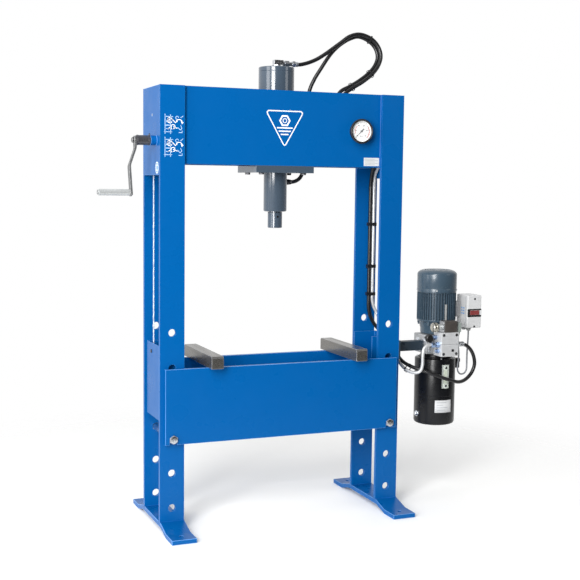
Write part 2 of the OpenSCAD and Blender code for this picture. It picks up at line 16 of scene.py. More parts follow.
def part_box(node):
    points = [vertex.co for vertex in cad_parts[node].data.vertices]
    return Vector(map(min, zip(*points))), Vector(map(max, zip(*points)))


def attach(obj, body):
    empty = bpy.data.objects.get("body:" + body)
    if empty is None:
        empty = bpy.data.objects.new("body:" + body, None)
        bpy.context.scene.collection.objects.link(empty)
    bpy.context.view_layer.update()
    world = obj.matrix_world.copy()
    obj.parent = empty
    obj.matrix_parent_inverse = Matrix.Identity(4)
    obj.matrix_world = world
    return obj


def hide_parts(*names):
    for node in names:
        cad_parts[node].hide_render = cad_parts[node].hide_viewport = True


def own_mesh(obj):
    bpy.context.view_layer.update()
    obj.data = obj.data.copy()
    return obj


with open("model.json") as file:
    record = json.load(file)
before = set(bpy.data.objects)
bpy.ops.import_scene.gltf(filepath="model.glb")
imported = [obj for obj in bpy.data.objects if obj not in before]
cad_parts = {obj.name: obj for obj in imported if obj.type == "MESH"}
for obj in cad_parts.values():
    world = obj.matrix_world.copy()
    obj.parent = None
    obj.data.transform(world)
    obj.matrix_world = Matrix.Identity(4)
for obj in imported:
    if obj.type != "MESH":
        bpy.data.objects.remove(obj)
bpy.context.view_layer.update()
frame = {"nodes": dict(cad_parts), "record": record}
MM = 0.001
PRINT_LIFT = 0.35
BODY_OF = {node: body for body, nodes in frame["record"]["behaviour"]["bodies"].items() for node in nodes}
X, Y, Z = Vector((1, 0, 0)), Vector((0, 1, 0)), Vector((0, 0, 1))
rng = random.Random(7)


def span(node):
    """Lowest and highest corner of a CAD node, in millimetres."""
    lo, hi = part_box(node)
    return lo / MM, hi / MM


def middle(node):
    lo, hi = span(node)
    return (lo + hi) / 2


# ---- camera ----

def make_camera():
    yaw, pitch, roll = math.radians(22.37), math.radians(-5.475), math.radians(0.693)
    forward = Vector((math.sin(yaw) * math.cos(pitch), math.cos(yaw) * math.cos(pitch), math.sin(pitch)))
    right = Vector((math.cos(yaw), -math.sin(yaw), 0))
    up = right.cross(forward)
    side = math.cos(roll) * right + math.sin(roll) * up
    top = math.cos(roll) * up - math.sin(roll) * right
    data = bpy.data.cameras.new("camera")
    data.sensor_width = 36
    data.lens = 67.7
    data.clip_end = 60
    camera = bpy.data.objects.new("camera", data)
    turn = Matrix((side, top, -forward)).transposed().to_4x4()
    camera.matrix_world = Matrix.Translation((-1.6587, -4.204, 1.3718)) @ turn
    bpy.context.scene.collection.objects.link(camera)
    bpy.context.scene.camera = camera


make_camera()


# ---- materials ----

def node_tree(name):
    mat = bpy.data.materials.new(name)
    mat.use_nodes = True
    tree = mat.node_tree
    tree.nodes.clear()
    out = tree.nodes.new("ShaderNodeOutputMaterial")
    shader = tree.nodes.new("ShaderNodeBsdfPrincipled")
    tree.links.new(shader.outputs["BSDF"], out.inputs["Surface"])
    return mat, tree, shader


def noise(tree, scale, detail=4.0, stretch=(1, 1, 1)):
    """Noise in the row frame; stretch under 1 draws it out along that axis."""
    coord = tree.nodes.new("ShaderNodeTexCoord")
    mapping = tree.nodes.new("ShaderNodeMapping")
    mapping.inputs["Scale"].default_value = stretch
    tex = tree.nodes.new("ShaderNodeTexNoise")
    tex.inputs["Scale"].default_value = scale
    tex.inputs["Detail"].default_value = detail
    tree.links.new(coord.outputs["Object"], mapping.inputs["Vector"])
    tree.links.new(mapping.outputs["Vector"], tex.inputs["Vector"])
    return tex.outputs["Fac"]


def remap(tree, value, low, high, start=0.3, stop=0.7):
    node = tree.nodes.new("ShaderNodeMapRange")
    node.inputs["From Min"].default_value = start
    node.inputs["From Max"].default_value = stop
    node.inputs["To Min"].default_value = low
    node.inputs["To Max"].default_value = high
    tree.links.new(value, node.inputs["Value"])
    return node.outputs["Result"]


def blend_colours(tree, factor, first, second):
    node = tree.nodes.new("ShaderNodeMix")
    node.data_type = "RGBA"
    node.inputs[6].default_value = (*first, 1)
    node.inputs[7].default_value = (*second, 1)
    tree.links.new(factor, node.inputs[0])
    return node.outputs[2]


def shade(colour, factor):
    return tuple(min(1.0, c * factor) for c in colour)


EDGE_HIGHLIGHT_OF = {}


def surface(name, colour, rough, metal=0.0, tint=0.1, patch=20, grain=500, bump=0.05, depth=0.0004,
        stretch=(1, 1, 1), coat=0.0, specular=0.5, spread=0.05, edge_highlight=None):
    """A finish with soft colour patches, uneven gloss and surface grain.

    The colour varies by tint and the roughness by spread; patch and grain are noise scales, and depth is
    the height of the grain in metres. Given an edge colour, rounded edges get a copy of the finish in that
    lighter colour, a painted highlight along the edges.
    """
    mat, tree, shader = node_tree(name)
    base = blend_colours(tree, remap(tree, noise(tree, patch, 2), 0, 1), shade(colour, 1 - tint),
        shade(colour, 1 + tint))
    gloss = remap(tree, noise(tree, patch * 7, 3, stretch), rough - spread, rough + spread)
    tree.links.new(base, shader.inputs["Base Color"])
    tree.links.new(gloss, shader.inputs["Roughness"])
    shader.inputs["Metallic"].default_value = metal
    shader.inputs["Coat Weight"].default_value = coat
    shader.inputs["Coat Roughness"].default_value = 0.1
    shader.inputs["Specular IOR Level"].default_value = specular
    relief = tree.nodes.new("ShaderNodeBump")
    relief.inputs["Strength"].default_value = bump
    relief.inputs["Distance"].default_value = depth
    tree.links.new(noise(tree, grain, 3, stretch), relief.inputs["Height"])
    tree.links.new(relief.outputs["Normal"], shader.inputs["Normal"])
    # The lighter edge copy of the finish is a painted highlight.
    if edge_highlight:
        EDGE_HIGHLIGHT_OF[name] = surface(name + ", edges", edge_highlight, rough + 0.06, metal, 0.15, patch * 6, grain, bump,
            depth, stretch, coat, specular, spread)
    return mat


def clear_material(name, colour, alpha, rough=0.04):
    """A thin clear part: mostly see-through, with its gloss kept."""
    mat, tree, shader = node_tree(name)
    shader.inputs["Base Color"].default_value = (*colour, 1)
    shader.inputs["Alpha"].default_value = alpha
    tree.links.new(remap(tree, noise(tree, 60), rough, rough + 0.05), shader.inputs["Roughness"])
    return mat


# Each edge colour below is lighter than its finish: a painted highlight on the rounded edges.
BLUE = surface("blue paint", (0.0005, 0.093, 0.318), 0.30, tint=0.014, patch=1.6, grain=260, specular=0.14,
    edge_highlight=(0.16, 0.36, 0.74))
BLUE_WELD = surface("blue paint on the welds", (0.001, 0.085, 0.32), 0.34, tint=0.08, patch=30, grain=300,
    bump=0.2, depth=0.001, specular=0.3)
GREY = surface("grey paint", (0.052, 0.074, 0.102), 0.15, tint=0.03, patch=4, grain=320, bump=0.04, coat=0.5,
    edge_highlight=(0.13, 0.16, 0.20))
SLATE = surface("dark slate paint", (0.020, 0.032, 0.045), 0.30, tint=0.08, patch=8, grain=300, bump=0.1,
    edge_highlight=(0.06, 0.09, 0.12))
MOTOR = surface("motor paint", (0.046, 0.075, 0.104), 0.24, tint=0.05, patch=8, grain=300, bump=0.08,
    edge_highlight=(0.10, 0.15, 0.19))
BLACK = surface("black paint", (0.005, 0.0055, 0.007), 0.30, patch=6, grain=260, bump=0.06, specular=0.34,
    edge_highlight=(0.03, 0.03, 0.034))
ZINC = surface("zinc plate", (0.60, 0.62, 0.65), 0.26, metal=1.0, patch=40, bump=0.08, spread=0.1)
BLUE_ZINC = surface("blue zinc plate", (0.34, 0.46, 0.68), 0.22, metal=1.0, tint=0.2, patch=60, bump=0.08)
STEEL = surface("ground steel", (0.46, 0.47, 0.48), 0.30, metal=1.0, patch=14, grain=260, bump=0.1,
    stretch=(1, 0.05, 1), spread=0.1, edge_highlight=(0.7, 0.71, 0.72))
BLOCK_STEEL = surface("rolled bar steel", (0.175, 0.168, 0.155), 0.28, metal=0.75, patch=8, grain=160,
    bump=0.07, depth=0.0005, stretch=(1, 0.08, 1), spread=0.06, edge_highlight=(0.34, 0.34, 0.34))
DARK_STEEL = surface("oiled steel", (0.060, 0.060, 0.065), 0.34, metal=0.9, tint=0.2, patch=50, grain=400,
    bump=0.15, edge_highlight=(0.22, 0.22, 0.22))
GUNMETAL = surface("phosphated steel", (0.085, 0.085, 0.095), 0.28, metal=0.5, patch=30, grain=400, bump=0.1,
    edge_highlight=(0.2, 0.2, 0.22))
FORGED = surface("crank steel", (0.17, 0.175, 0.18), 0.42, metal=0.7, tint=0.18, patch=40, grain=300,
    bump=0.25, depth=0.0008, edge_highlight=(0.42, 0.42, 0.42))
SLEEVE = surface("grip sleeve", (0.52, 0.54, 0.54), 0.30, metal=0.45, tint=0.05, patch=30, grain=400,
    bump=0.1)
PIPE = surface("galvanised pipe", (0.62, 0.63, 0.64), 0.44, metal=0.55, tint=0.06, patch=40, bump=0.08)
CHROME = surface("chromed rod", (0.75, 0.76, 0.78), 0.12, metal=1.0, tint=0.03, grain=900, bump=0.02,
    spread=0.04)
BRONZE = surface("bronze", (0.42, 0.27, 0.10), 0.34, metal=1.0, tint=0.12, patch=30, bump=0.1)
BRASS = surface("nickelled brass", (0.56, 0.54, 0.47), 0.24, metal=1.0, tint=0.12, patch=60, grain=400,
    bump=0.06)
CAST = surface("cast alloy", (0.44, 0.45, 0.46), 0.46, metal=0.5, tint=0.2, patch=30, grain=220, bump=0.5,
    depth=0.001, spread=0.12)
BOX_GREY = surface("light grey enamel", (0.60, 0.605, 0.61), 0.36, tint=0.03, patch=8, grain=420, bump=0.08,
    specular=0.3)
VALVE_GREY = surface("machined valve block", (0.56, 0.57, 0.58), 0.36, metal=0.2, tint=0.06, grain=300,
    bump=0.12)
COIL = surface("coil housing", (0.060, 0.053, 0.048), 0.40, tint=0.15, grain=300, bump=0.15)
PLASTIC = surface("black plastic", (0.012, 0.012, 0.013), 0.34, tint=0.2, grain=700, bump=0.12)
GREY_PLASTIC = surface("grey plastic", (0.34, 0.35, 0.35), 0.42, tint=0.08, grain=700, bump=0.15)
GREEN_GREY = surface("grey-green plastic", (0.26, 0.30, 0.28), 0.4, tint=0.08, grain=700, bump=0.12)
RED = surface("red plastic", (0.22, 0.045, 0.045), 0.28, tint=0.12, grain=700)
HOSE = surface("hose rubber", (0.008, 0.008, 0.009), 0.32, tint=0.2, patch=14, grain=900, bump=0.2,
    depth=0.0005)
CABLE = surface("cable sheath", (0.22, 0.23, 0.25), 0.45, patch=14, grain=900, bump=0.15)
ROPE = surface("wire rope", (0.60, 0.66, 0.76), 0.40, metal=0.35, tint=0.2, patch=90, grain=900, bump=0.2)
WHITE = surface("white print", (0.86, 0.87, 0.88), 0.42, tint=0.03, specular=0.3)
PALE_BLUE = surface("pale blue print", (0.46, 0.66, 0.90), 0.45, tint=0.08, patch=90, specular=0.3)
LABEL = surface("label film", (0.66, 0.67, 0.68), 0.34, tint=0.04, patch=14)
PRINT = surface("dark print", (0.05, 0.055, 0.06), 0.5)
PRINT_GREY = surface("grey print", (0.36, 0.38, 0.40), 0.5)
PRINT_BLUE = surface("blue print", (0.20, 0.36, 0.62), 0.5)
PRINT_RED = surface("red print", (0.72, 0.20, 0.17), 0.5)
DIAL = surface("dial enamel", (0.90, 0.90, 0.89), 0.4, tint=0.02, bump=0.03)
OIL = surface("oil behind the level glass", (0.52, 0.58, 0.40), 0.2, tint=0.08, patch=40, grain=300)
GLASS = clear_material("clear glass", (0.9, 0.92, 0.93), 0.08)
CLEAR = clear_material("clear plastic", (0.86, 0.92, 0.86), 0.45)


# ---- mesh helpers: every shape is made in millimetres ----

def piece(name, bm, mat, body="frame", smooth=30, bevel=0.0, segments=2, stands_for=None):
    """Turns a bmesh in millimetres into an object that rides on a CAD body."""
    bmesh.ops.recalc_face_normals(bm, faces=bm.faces)
    bm.transform(Matrix.Scale(MM, 4))
    mesh = bpy.data.meshes.new(name)
    bm.to_mesh(mesh)
    bm.free()
    mesh.materials.append(mat)
    # With a bevel, the rounded edges take the lighter edge copy of the finish: a painted highlight.
    edge_highlight = EDGE_HIGHLIGHT_OF.get(mat.name) if bevel else None
    if edge_highlight:
        mesh.materials.append(edge_highlight)
    mesh.shade_smooth()
    mesh.set_sharp_from_angle(angle=math.radians(smooth))
    obj = bpy.data.objects.new(name, mesh)
    bpy.context.scene.collection.objects.link(obj)
    if bevel:
        mod = obj.modifiers.new("edges", "BEVEL")
        mod.width = bevel * MM
        mod.segments = segments
        mod.limit_method = "ANGLE"
        mod.angle_limit = math.radians(32)
        mod.use_clamp_overlap = True
        mod.harden_normals = True
        mod.material = 1 if edge_highlight else -1
    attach(obj, body)
    if stands_for:
        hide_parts(stands_for)
    return obj


def stand_in(name, bm, mat, node, smooth=30, bevel=0.0, segments=2):
    """A detailed piece in the place of a CAD node, on the same body."""
    return piece(name, bm, mat, BODY_OF[node], smooth, bevel, segments, node)


def add_box(bm, lo, hi, turn=None):
    lo, hi = Vector(lo), Vector(hi)
    made = bmesh.ops.create_cube(bm, size=1.0)
    size = Matrix.Diagonal((*(hi - lo), 1))
    place = Matrix.Translation((lo + hi) / 2)
    bmesh.ops.transform(bm, matrix=(turn or Matrix.Identity(4)) @ place @ size, verts=made["verts"])
    return made["verts"]


def join_rings(bm, rings, capped=False):
    """Faces between closed rings of as many points, in order; capped closes both ends."""
    for a, b in zip(rings, rings[1:]):
        for k in range(len(a)):
            n = (k + 1) % len(a)
            bm.faces.new((a[k], a[n], b[n], b[k]))
    if capped:
        bm.faces.new(list(reversed(rings[0])))
        bm.faces.new(rings[-1])


def add_window(bm, outer, inner, y0, y1):
    """A flat rectangular rim; outer and inner are (x0, z0, x1, z1), and y0 is the front."""
    loops = []
    for x0, z0, x1, z1 in (outer, inner):
        for y in (y0, y1):
            loops.append([bm.verts.new((x, y, z)) for x, z in rectangle(x0, z0, x1, z1)])
    out_front, out_back, in_front, in_back = loops
    join_rings(bm, (out_front, in_front, in_back, out_back, out_front))


def frame_along(axis):
    axis = Vector(axis).normalized()
    side = axis.cross(Z if abs(axis.z) < 0.9 else X).normalized()
    return side, axis.cross(side), axis


def add_lathe(bm, origin, axis, profile, steps=64, phase=0.0):
    """Revolves (radius, distance along axis) points; a radius of 0 closes the end."""
    side, up, along = frame_along(axis)
    origin = Vector(origin)
    rings = []
    for radius, height in profile:
        centre = origin + along * height
        if radius <= 1e-6:
            rings.append([bm.verts.new(centre)])
            continue
        turns = [2 * math.pi * (k + phase) / steps for k in range(steps)]
        rings.append([bm.verts.new(centre + radius * (math.cos(t) * side + math.sin(t) * up))
            for t in turns])
    for a, b in zip(rings, rings[1:]):
        for k in range(steps):
            n = (k + 1) % steps
            if len(a) == 1 and len(b) == 1:
                continue
            if len(a) == 1:
                bm.faces.new((a[0], b[k], b[n]))
            elif len(b) == 1:
                bm.faces.new((a[k], b[0], a[n]))
            else:
                bm.faces.new((a[k], b[k], b[n], a[n]))


def add_rod(bm, start, end, radius, steps=32, chamfer=0.6, phase=0.0):
    start, end = Vector(start), Vector(end)
    length = (end - start).length
    c = min(chamfer, radius * 0.4, length * 0.4)
    add_lathe(bm, start, end - start, [(0, 0), (radius - c, 0), (radius, c), (radius, length - c),
        (radius - c, length), (0, length)], steps, phase)


def add_hex(bm, start, end, across_flats, phase=0.0):
    """A hexagon bar whose corners are taken down at both ends."""
    start, end = Vector(start), Vector(end)
    corner = across_flats / math.sqrt(3)
    add_rod(bm, start, end, corner, 6, across_flats * 0.05, phase)


def add_ring(bm, origin, axis, inner, outer, low, high, steps=64, chamfer=0.6):
    c = chamfer
    add_lathe(bm, origin, axis, [(inner, low + c), (inner + c, low), (outer - c, low), (outer, low + c),
        (outer, high - c), (outer - c, high), (inner + c, high), (inner, high - c), (inner, low + c)], steps)


def add_prism(bm, outline, origin, u, v, depth=PRINT_LIFT):
    """Extrudes a flat outline, given in (u, v), along u x v; thin as print if no depth is given."""
    origin, u, v = Vector(origin), Vector(u), Vector(v)
    out = u.cross(v).normalized() * depth
    low = [bm.verts.new(origin + u * a + v * b) for a, b in outline]
    high = [bm.verts.new(p.co + out) for p in low]
    bm.faces.new(low)
    bm.faces.new(list(reversed(high)))
    join_rings(bm, (low, high))


def smooth_path(points, step=6.0):
    """A rounded curve through the points, with points about every step."""
    pts = [Vector(p) for p in points]
    ends = [pts[0] * 2 - pts[1]] + pts + [pts[-1] * 2 - pts[-2]]
    out = []
    for a, b, c, d in zip(ends, ends[1:], ends[2:], ends[3:]):
        count = max(1, round((c - b).length / step))
        for k in range(count):
            t = k / count
            t2, t3 = t * t, t * t * t
            out.append(0.5 * (2 * b + (c - a) * t + (2 * a - 5 * b + 4 * c - d) * t2
                + (3 * b - a - 3 * c + d) * t3))
    return out + [pts[-1]]


def add_tube(bm, path, radius, sides=16, twist=0.0, lobes=0, lobe_depth=0.0):
    """A capped tube along a path; lobes and twist turn it into laid strands."""
    path = [Vector(p) for p in path]
    tangent = (path[1] - path[0]).normalized()
    side = frame_along(tangent)[0]
    rings = []
    travelled = 0.0
    for i, p in enumerate(path):
        ahead = path[min(i + 1, len(path) - 1)] - path[max(i - 1, 0)]
        tangent = ahead.normalized()
        side = (side - tangent * side.dot(tangent)).normalized()
        up = tangent.cross(side)
        if i:
            travelled += (p - path[i - 1]).length
        ring = []
        for k in range(sides):
            t = 2 * math.pi * k / sides
            r = radius * (1 - lobe_depth * (0.5 + 0.5 * math.cos(lobes * t))) if lobes else radius
            t += twist * travelled
            ring.append(bm.verts.new(p + r * (math.cos(t) * side + math.sin(t) * up)))
        rings.append(ring)
    join_rings(bm, rings, capped=True)


def add_stroke(bm, points, width, origin, u, v, lift=PRINT_LIFT, closed=False):
    """A flat ribbon of constant width along (u, v) points, lifted off the surface a little."""
    origin, u, v = Vector(origin), Vector(u), Vector(v)
    normal = u.cross(v).normalized()
    pts = [Vector((a, b)) for a, b in points]
    n = len(pts)
    left, right = [], []
    for i, p in enumerate(pts):
        before = pts[i - 1] if i or closed else p
        after = pts[(i + 1) % n] if i < n - 1 or closed else p
        d1 = (p - before).normalized() if (p - before).length > 1e-6 else (after - p).normalized()
        d2 = (after - p).normalized() if (after - p).length > 1e-6 else d1
        n1, n2 = Vector((-d1.y, d1.x)), Vector((-d2.y, d2.x))
        m = n1 + n2
        m = m / max(0.5, m.dot(n1)) if m.length > 1e-6 else n1
        for row, sign in ((left, 0.5), (right, -0.5)):
            q = p + m * (width * sign)
            row.append(bm.verts.new(origin + u * q.x + v * q.y + normal * lift))
    for i in range(n if closed else n - 1):
        j = (i + 1) % n
        bm.faces.new((left[i], right[i], right[j], left[j]))


def arc(cx, cy, r, start, stop, steps=12):
    angles = [math.radians(start + (stop - start) * k / steps) for k in range(steps + 1)]
    return [(cx + r * math.cos(a), cy + r * math.sin(a)) for a in angles]


def rectangle(u0, v0, u1, v1):
    return [(u0, v0), (u1, v0), (u1, v1), (u0, v1)]


def dressed(node, mat, bevel=1.0, segments=2, smooth=35):
    """A welded copy of a CAD node with rounded edges, standing in for the node."""
    bm = bmesh.new()
    bm.from_mesh(frame["nodes"][node].data)
    bmesh.ops.remove_doubles(bm, verts=bm.verts, dist=1e-6)
    bmesh.ops.dissolve_limit(bm, angle_limit=math.radians(0.4), verts=bm.verts, edges=bm.edges)
    bm.transform(Matrix.Scale(1 / MM, 4))
    return stand_in(node + "_finish", bm, mat, node, smooth=smooth, bevel=bevel, segments=segments)


# ---- hoses and cable: the routes of the CAD model ----

HOSE_TOP = [(76, 0, 1867), (102, 0, 1867), (138, -1, 1876), (176, -3, 1892), (213, -6, 1915),
    (245, -8, 1938), (280, -12, 1964), (320, -18, 1993), (364, -24, 2003), (412, -30, 1988),
    (443, -36, 1957), (454, -42, 1917), (440, -48, 1876), (408, -54, 1838), (362, -60, 1804),
    (316, -66, 1778), (278, -70, 1752), (257, -73, 1720), (250, -74, 1684), (250, -74, 1650)]
HOSE_LOWER = [(60, 20, 1386), (84, 28, 1386), (107, 36, 1391), (128, 45, 1403), (144, 54, 1425),
    (152, 59, 1454), (155, 60, 1490), (152, 52, 1560), (150, 30, 1670), (152, 14, 1756), (172, 10, 1809),
    (202, 8, 1857), (231, 8, 1900), (259, 8, 1934), (290, 4, 1962), (326, -1, 1984), (364, -8, 1995),
    (406, -14, 1981), (436, -20, 1953), (446, -26, 1916), (433, -32, 1880), (402, -38, 1845),
    (357, -44, 1812), (310, -51, 1785), (264, -60, 1762), (236, -70, 1728), (225, -74, 1690),
    (225, -74, 1650)]
HOSE_SUPPLY = [(365, -74, 1612), (395, -74, 1612), (436, -58, 1594), (464, -15, 1552), (480, 40, 1498),
    (488, 84, 1438), (489, 101, 1376), (489, 101, 850), (496, 100, 808), (516, 98, 768), (543, 87, 732),
    (570, 58, 688), (588, 24, 646), (602, -12, 612), (622, -50, 594), (650, -86, 582), (688, -112, 568),
    (732, -124, 551), (784, -124, 534), (834, -108, 521), (882, -86, 526), (918, -76, 552), (932, -77, 590),
    (922, -82, 630), (900, -91, 660), (874, -97, 680), (850, -100, 687), (838, -100, 688), (830, -100, 688)]
STEEL_PIPE = [(355, -74, 1588), (398, -74, 1588), (440, -62, 1572), (472, -20, 1528), (496, 34, 1466),
    (505, 88, 1426), (506, 101, 1376), (506, 101, 880), (513, 101, 846), (529, 97, 812), (541, 82, 782),
    (548, 62, 752), (556, 36, 712), (568, 4, 660), (582, -30, 606), (600, -68, 578), (622, -100, 572),
    (638, -114, 582), (645, -118, 608), (646, -118, 652), (652, -117, 678), (674, -115, 692),
    (702, -115, 692)]
CABLE_VALVE = [(915, -45, 737), (915, -45, 716), (912, -48, 684), (907, -53, 650), (904, -57, 614),
    (903, -59, 588), (901, -61, 568), (895, -63, 557), (886, -64, 549), (875, -65, 547), (864, -67, 549),
    (855, -69, 557), (849, -71, 568), (847, -74, 588), (844, -84, 616), (838, -96, 642), (828, -110, 664),
    (819, -119, 688), (815, -120, 708), (815, -120, 728)]
HOSE_R, PIPE_R, CABLE_R = 8, 7, 3.5


def filled_route(route):
    """Adds points on long straight stretches, so that the rounded curve stays straight there."""
    out = [route[0]]
    for a, b in zip(route, route[1:]):
        a, b = Vector(a), Vector(b)
        if (b - a).length > 150:
            out += [tuple(a.lerp(b, t)) for t in (0.06, 0.5, 0.94)]
        out.append(tuple(b))
    return out


def lay_cord(node, route, radius, mat, sides):
    path = smooth_path(filled_route(route), radius)
    bm = bmesh.new()
    add_tube(bm, path, radius, sides)
    obj = stand_in(node + "_run", bm, mat, node, smooth=60)


lay_cord("hose_top", HOSE_TOP, HOSE_R, HOSE, 20)
lay_cord("hose_lower", HOSE_LOWER, HOSE_R, HOSE, 20)
lay_cord("hose_supply", HOSE_SUPPLY, HOSE_R, HOSE, 20)
lay_cord("cable_valve", CABLE_VALVE, CABLE_R, CABLE, 14)


def steel_line():
    bm = bmesh.new()
    add_tube(bm, smooth_path(filled_route(STEEL_PIPE), 6), PIPE_R, 20)
    stand_in("steel_pipe_run", bm, PIPE, "steel_pipe", smooth=60)


def crimp(name, tip, direction, radius=10.5, length=30, nut=23, mat=ZINC):
    """The pressed ferrule and swivel nut at a hose end; direction points along the hose."""
    tip, direction = Vector(tip), Vector(direction).normalized()
    bm = bmesh.new()
    grooves = [(0, 0), (radius, 0.2)]
    for k in range(4):
        z = 3 + k * (length - 4) / 4
        grooves += [(radius, z), (radius - 1.2, z + 1), (radius - 1.2, z + 2), (radius, z + 3)]
    grooves += [(radius, length - 1), (radius - 1.5, length), (0, length)]
    add_lathe(bm, tip + direction * 4, direction, grooves, 32)
    add_hex(bm, tip - direction * 8, tip + direction * 5, nut)
    piece(name, bm, mat)


def line_ends():
    crimp("ferrule_cap_port", HOSE_TOP[0], X, length=14)
    crimp("ferrule_rod_port", HOSE_LOWER[0], Vector(HOSE_LOWER[1]) - Vector(HOSE_LOWER[0]), length=14,
        mat=DARK_STEEL)
    crimp("ferrule_block_top", HOSE_TOP[-1], Z)
    crimp("ferrule_block_lower", HOSE_LOWER[-1], Z)
    crimp("ferrule_supply_start", HOSE_SUPPLY[0], X)
    crimp("ferrule_supply_end", HOSE_SUPPLY[-1], X, length=24)
    bm = bmesh.new()
    add_hex(bm, Vector(STEEL_PIPE[0]) - X * 2, Vector(STEEL_PIPE[0]) + X * 14, 20)
    add_hex(bm, Vector(STEEL_PIPE[-1]) - X * 15, Vector(STEEL_PIPE[-1]) + X * 2, 21)
    piece("pipe_nuts", bm, BLUE_ZINC)


def add_tie(bm, centre, along, radius, width=4.5):
    """A cable tie round a bundle, with its square head."""
    centre, along = Vector(centre), Vector(along).normalized()
    add_ring(bm, centre, along, radius - 0.4, radius + 1.1, -width / 2, width / 2, 28, 0.3)
    side, up, _ = frame_along(along)
    turn = Matrix((side, up, along)).transposed().to_4x4()
    turn = Matrix.Translation(centre) @ turn
    add_box(bm, (radius + 0.4, -3, -3.4), (radius + 5, 3, 3.4), turn)
    add_box(bm, (radius + 1.5, 3, -1.6), (radius + 2.6, 12, 1.6), turn)


def ties_and_clips():
    bm = bmesh.new()
    lower = smooth_path(filled_route(HOSE_LOWER), 4)
    for i in (9, 13, 15):
        top = Vector(HOSE_TOP[i])
        near = min(lower, key=lambda p: (p - top).length)
        ahead = Vector(HOSE_TOP[i + 1]) - Vector(HOSE_TOP[i - 1])
        add_tie(bm, (top + near) / 2, ahead, (top - near).length / 2 + HOSE_R + 0.6)
    add_tie(bm, (611, -52, 586), (0.4, -0.85, -0.35), 20)
    piece("cable_ties", bm, PLASTIC)
    bm = bmesh.new()
    for z in (1207, 1022, 900):
        add_box(bm, (478, 90.5, z - 7), (516, 92.8, z + 7))
        add_box(bm, (477, 90.5, z - 7), (479.5, 110, z + 7))
        add_box(bm, (514.5, 90.5, z - 7), (517, 110, z + 7))
        add_rod(bm, (498, 91, z), (498, 89.2, z), 4, 6, 0.4)
    piece("pipe_clips", bm, PLASTIC, bevel=0.5)


steel_line()
line_ends()
ties_and_clips()


# ---- frame ----

def frame_plates():
    for node in ("upright_front_left", "upright_front_right", "upright_rear_left", "upright_rear_right"):
        dressed(node, BLUE, 3.0, 3)
    for node in ("foot_left", "foot_right"):
        dressed(node, BLUE, 1.6, 3, 25)
    for node in ("crosshead_front", "crosshead_rear", "crosshead_ends"):
        dressed(node, BLUE, segments=3)


def add_weld(bm, start, end, radius=4.0):
    """A ripple-surfaced fillet bead between two points."""
    start, end = Vector(start), Vector(end)
    ripple, sides = 3.5, 10
    count = max(8, round((end - start).length / ripple))
    side, up, _ = frame_along(end - start)
    rings = []
    for i in range(count + 1):
        centre = start.lerp(end, i / count)
        r = radius * (0.86 + 0.14 * (i % 2) + rng.uniform(-0.05, 0.05))
        rings.append([bm.verts.new(centre + r * (math.cos(t) * side + math.sin(t) * up))
            for t in [2 * math.pi * k / sides for k in range(sides)]])
    join_rings(bm, rings, capped=True)


def frame_welds():
    bm = bmesh.new()
    bar_lo, bar_hi = span("upright_front_left")
    head_lo, head_hi = span("crosshead_front")
    foot_top = span("foot_left")[1].z
    inner, outer = -bar_hi.x, -bar_lo.x
    for s in (-1, 1):
        for y in (head_lo.y, -head_lo.y):
            add_weld(bm, (s * inner, y, head_lo.z + 4), (s * inner, y, head_hi.z - 3), 3.2)
        for y in (bar_lo.y, bar_hi.y, -bar_hi.y, -bar_lo.y):
            add_weld(bm, (s * inner, y, foot_top), (s * outer, y, foot_top), 3.4)
    piece("frame_welds", bm, BLUE_WELD, smooth=60)
    bm = bmesh.new()
    plate_lo, plate_hi = span("cylinder_plate")
    for y in (plate_lo.y + 3, plate_hi.y - 3):
        add_weld(bm, (plate_lo.x + 3, y, plate_hi.z), (plate_hi.x - 3, y, plate_hi.z), 3)
    piece("cylinder_plate_welds", bm, BLUE_WELD, smooth=60)


def anchor_washers():
    """A bright worn ring round each anchor hole."""
    pattern = next(m for m in frame["record"]["mounts"] if m["name"] == "floor_anchors")["dims"]
    sole_top = 18
    bm = bmesh.new()
    for x in (-0.5, 0.5):
        for y in (-0.5, 0.5):
            centre = (x * pattern["spacing_x_mm"], y * pattern["spacing_y_mm"], sole_top)
            add_ring(bm, centre, Z, pattern["hole_r_mm"] + 0.2, pattern["hole_r_mm"] + 1.6, 0, 0.3, 40, 0.1)
    piece("anchor_hole_rims", bm, BLUE_WELD)


frame_plates()
frame_welds()
anchor_washers()


# ---- printed marks ----

def badge():
    """An inverted triangle with rounded corners round a hexagon nut and three bars: a made-up mark."""
    half, top, tip, drop = 76, 68, -68, 12
    at = (-5, span("crosshead_front")[0].y, 1600)
    outline = [(-half + 6, top), (half - 6, top), (half, top - 5), (half - 1, top - drop), (5, tip + 3),
        (0, tip), (-5, tip + 3), (-half + 1, top - drop), (-half, top - 5)]
    white = bmesh.new()
    add_stroke(white, outline, 4.5, at, X, Z, 0.4, closed=True)
    add_stroke(white, arc(0, 30, 21, 0, 300, 5), 6.5, at, X, Z, 0.4, closed=True)
    add_stroke(white, arc(0, 30, 8, 0, 345, 23), 3, at, X, Z, 0.4, closed=True)
    for v, reach in ((1, 34), (-12, 26), (-25, 17)):
        add_stroke(white, [(-reach, v), (reach, v)], 5, at, X, Z, 0.4)
    piece("badge", white, WHITE)


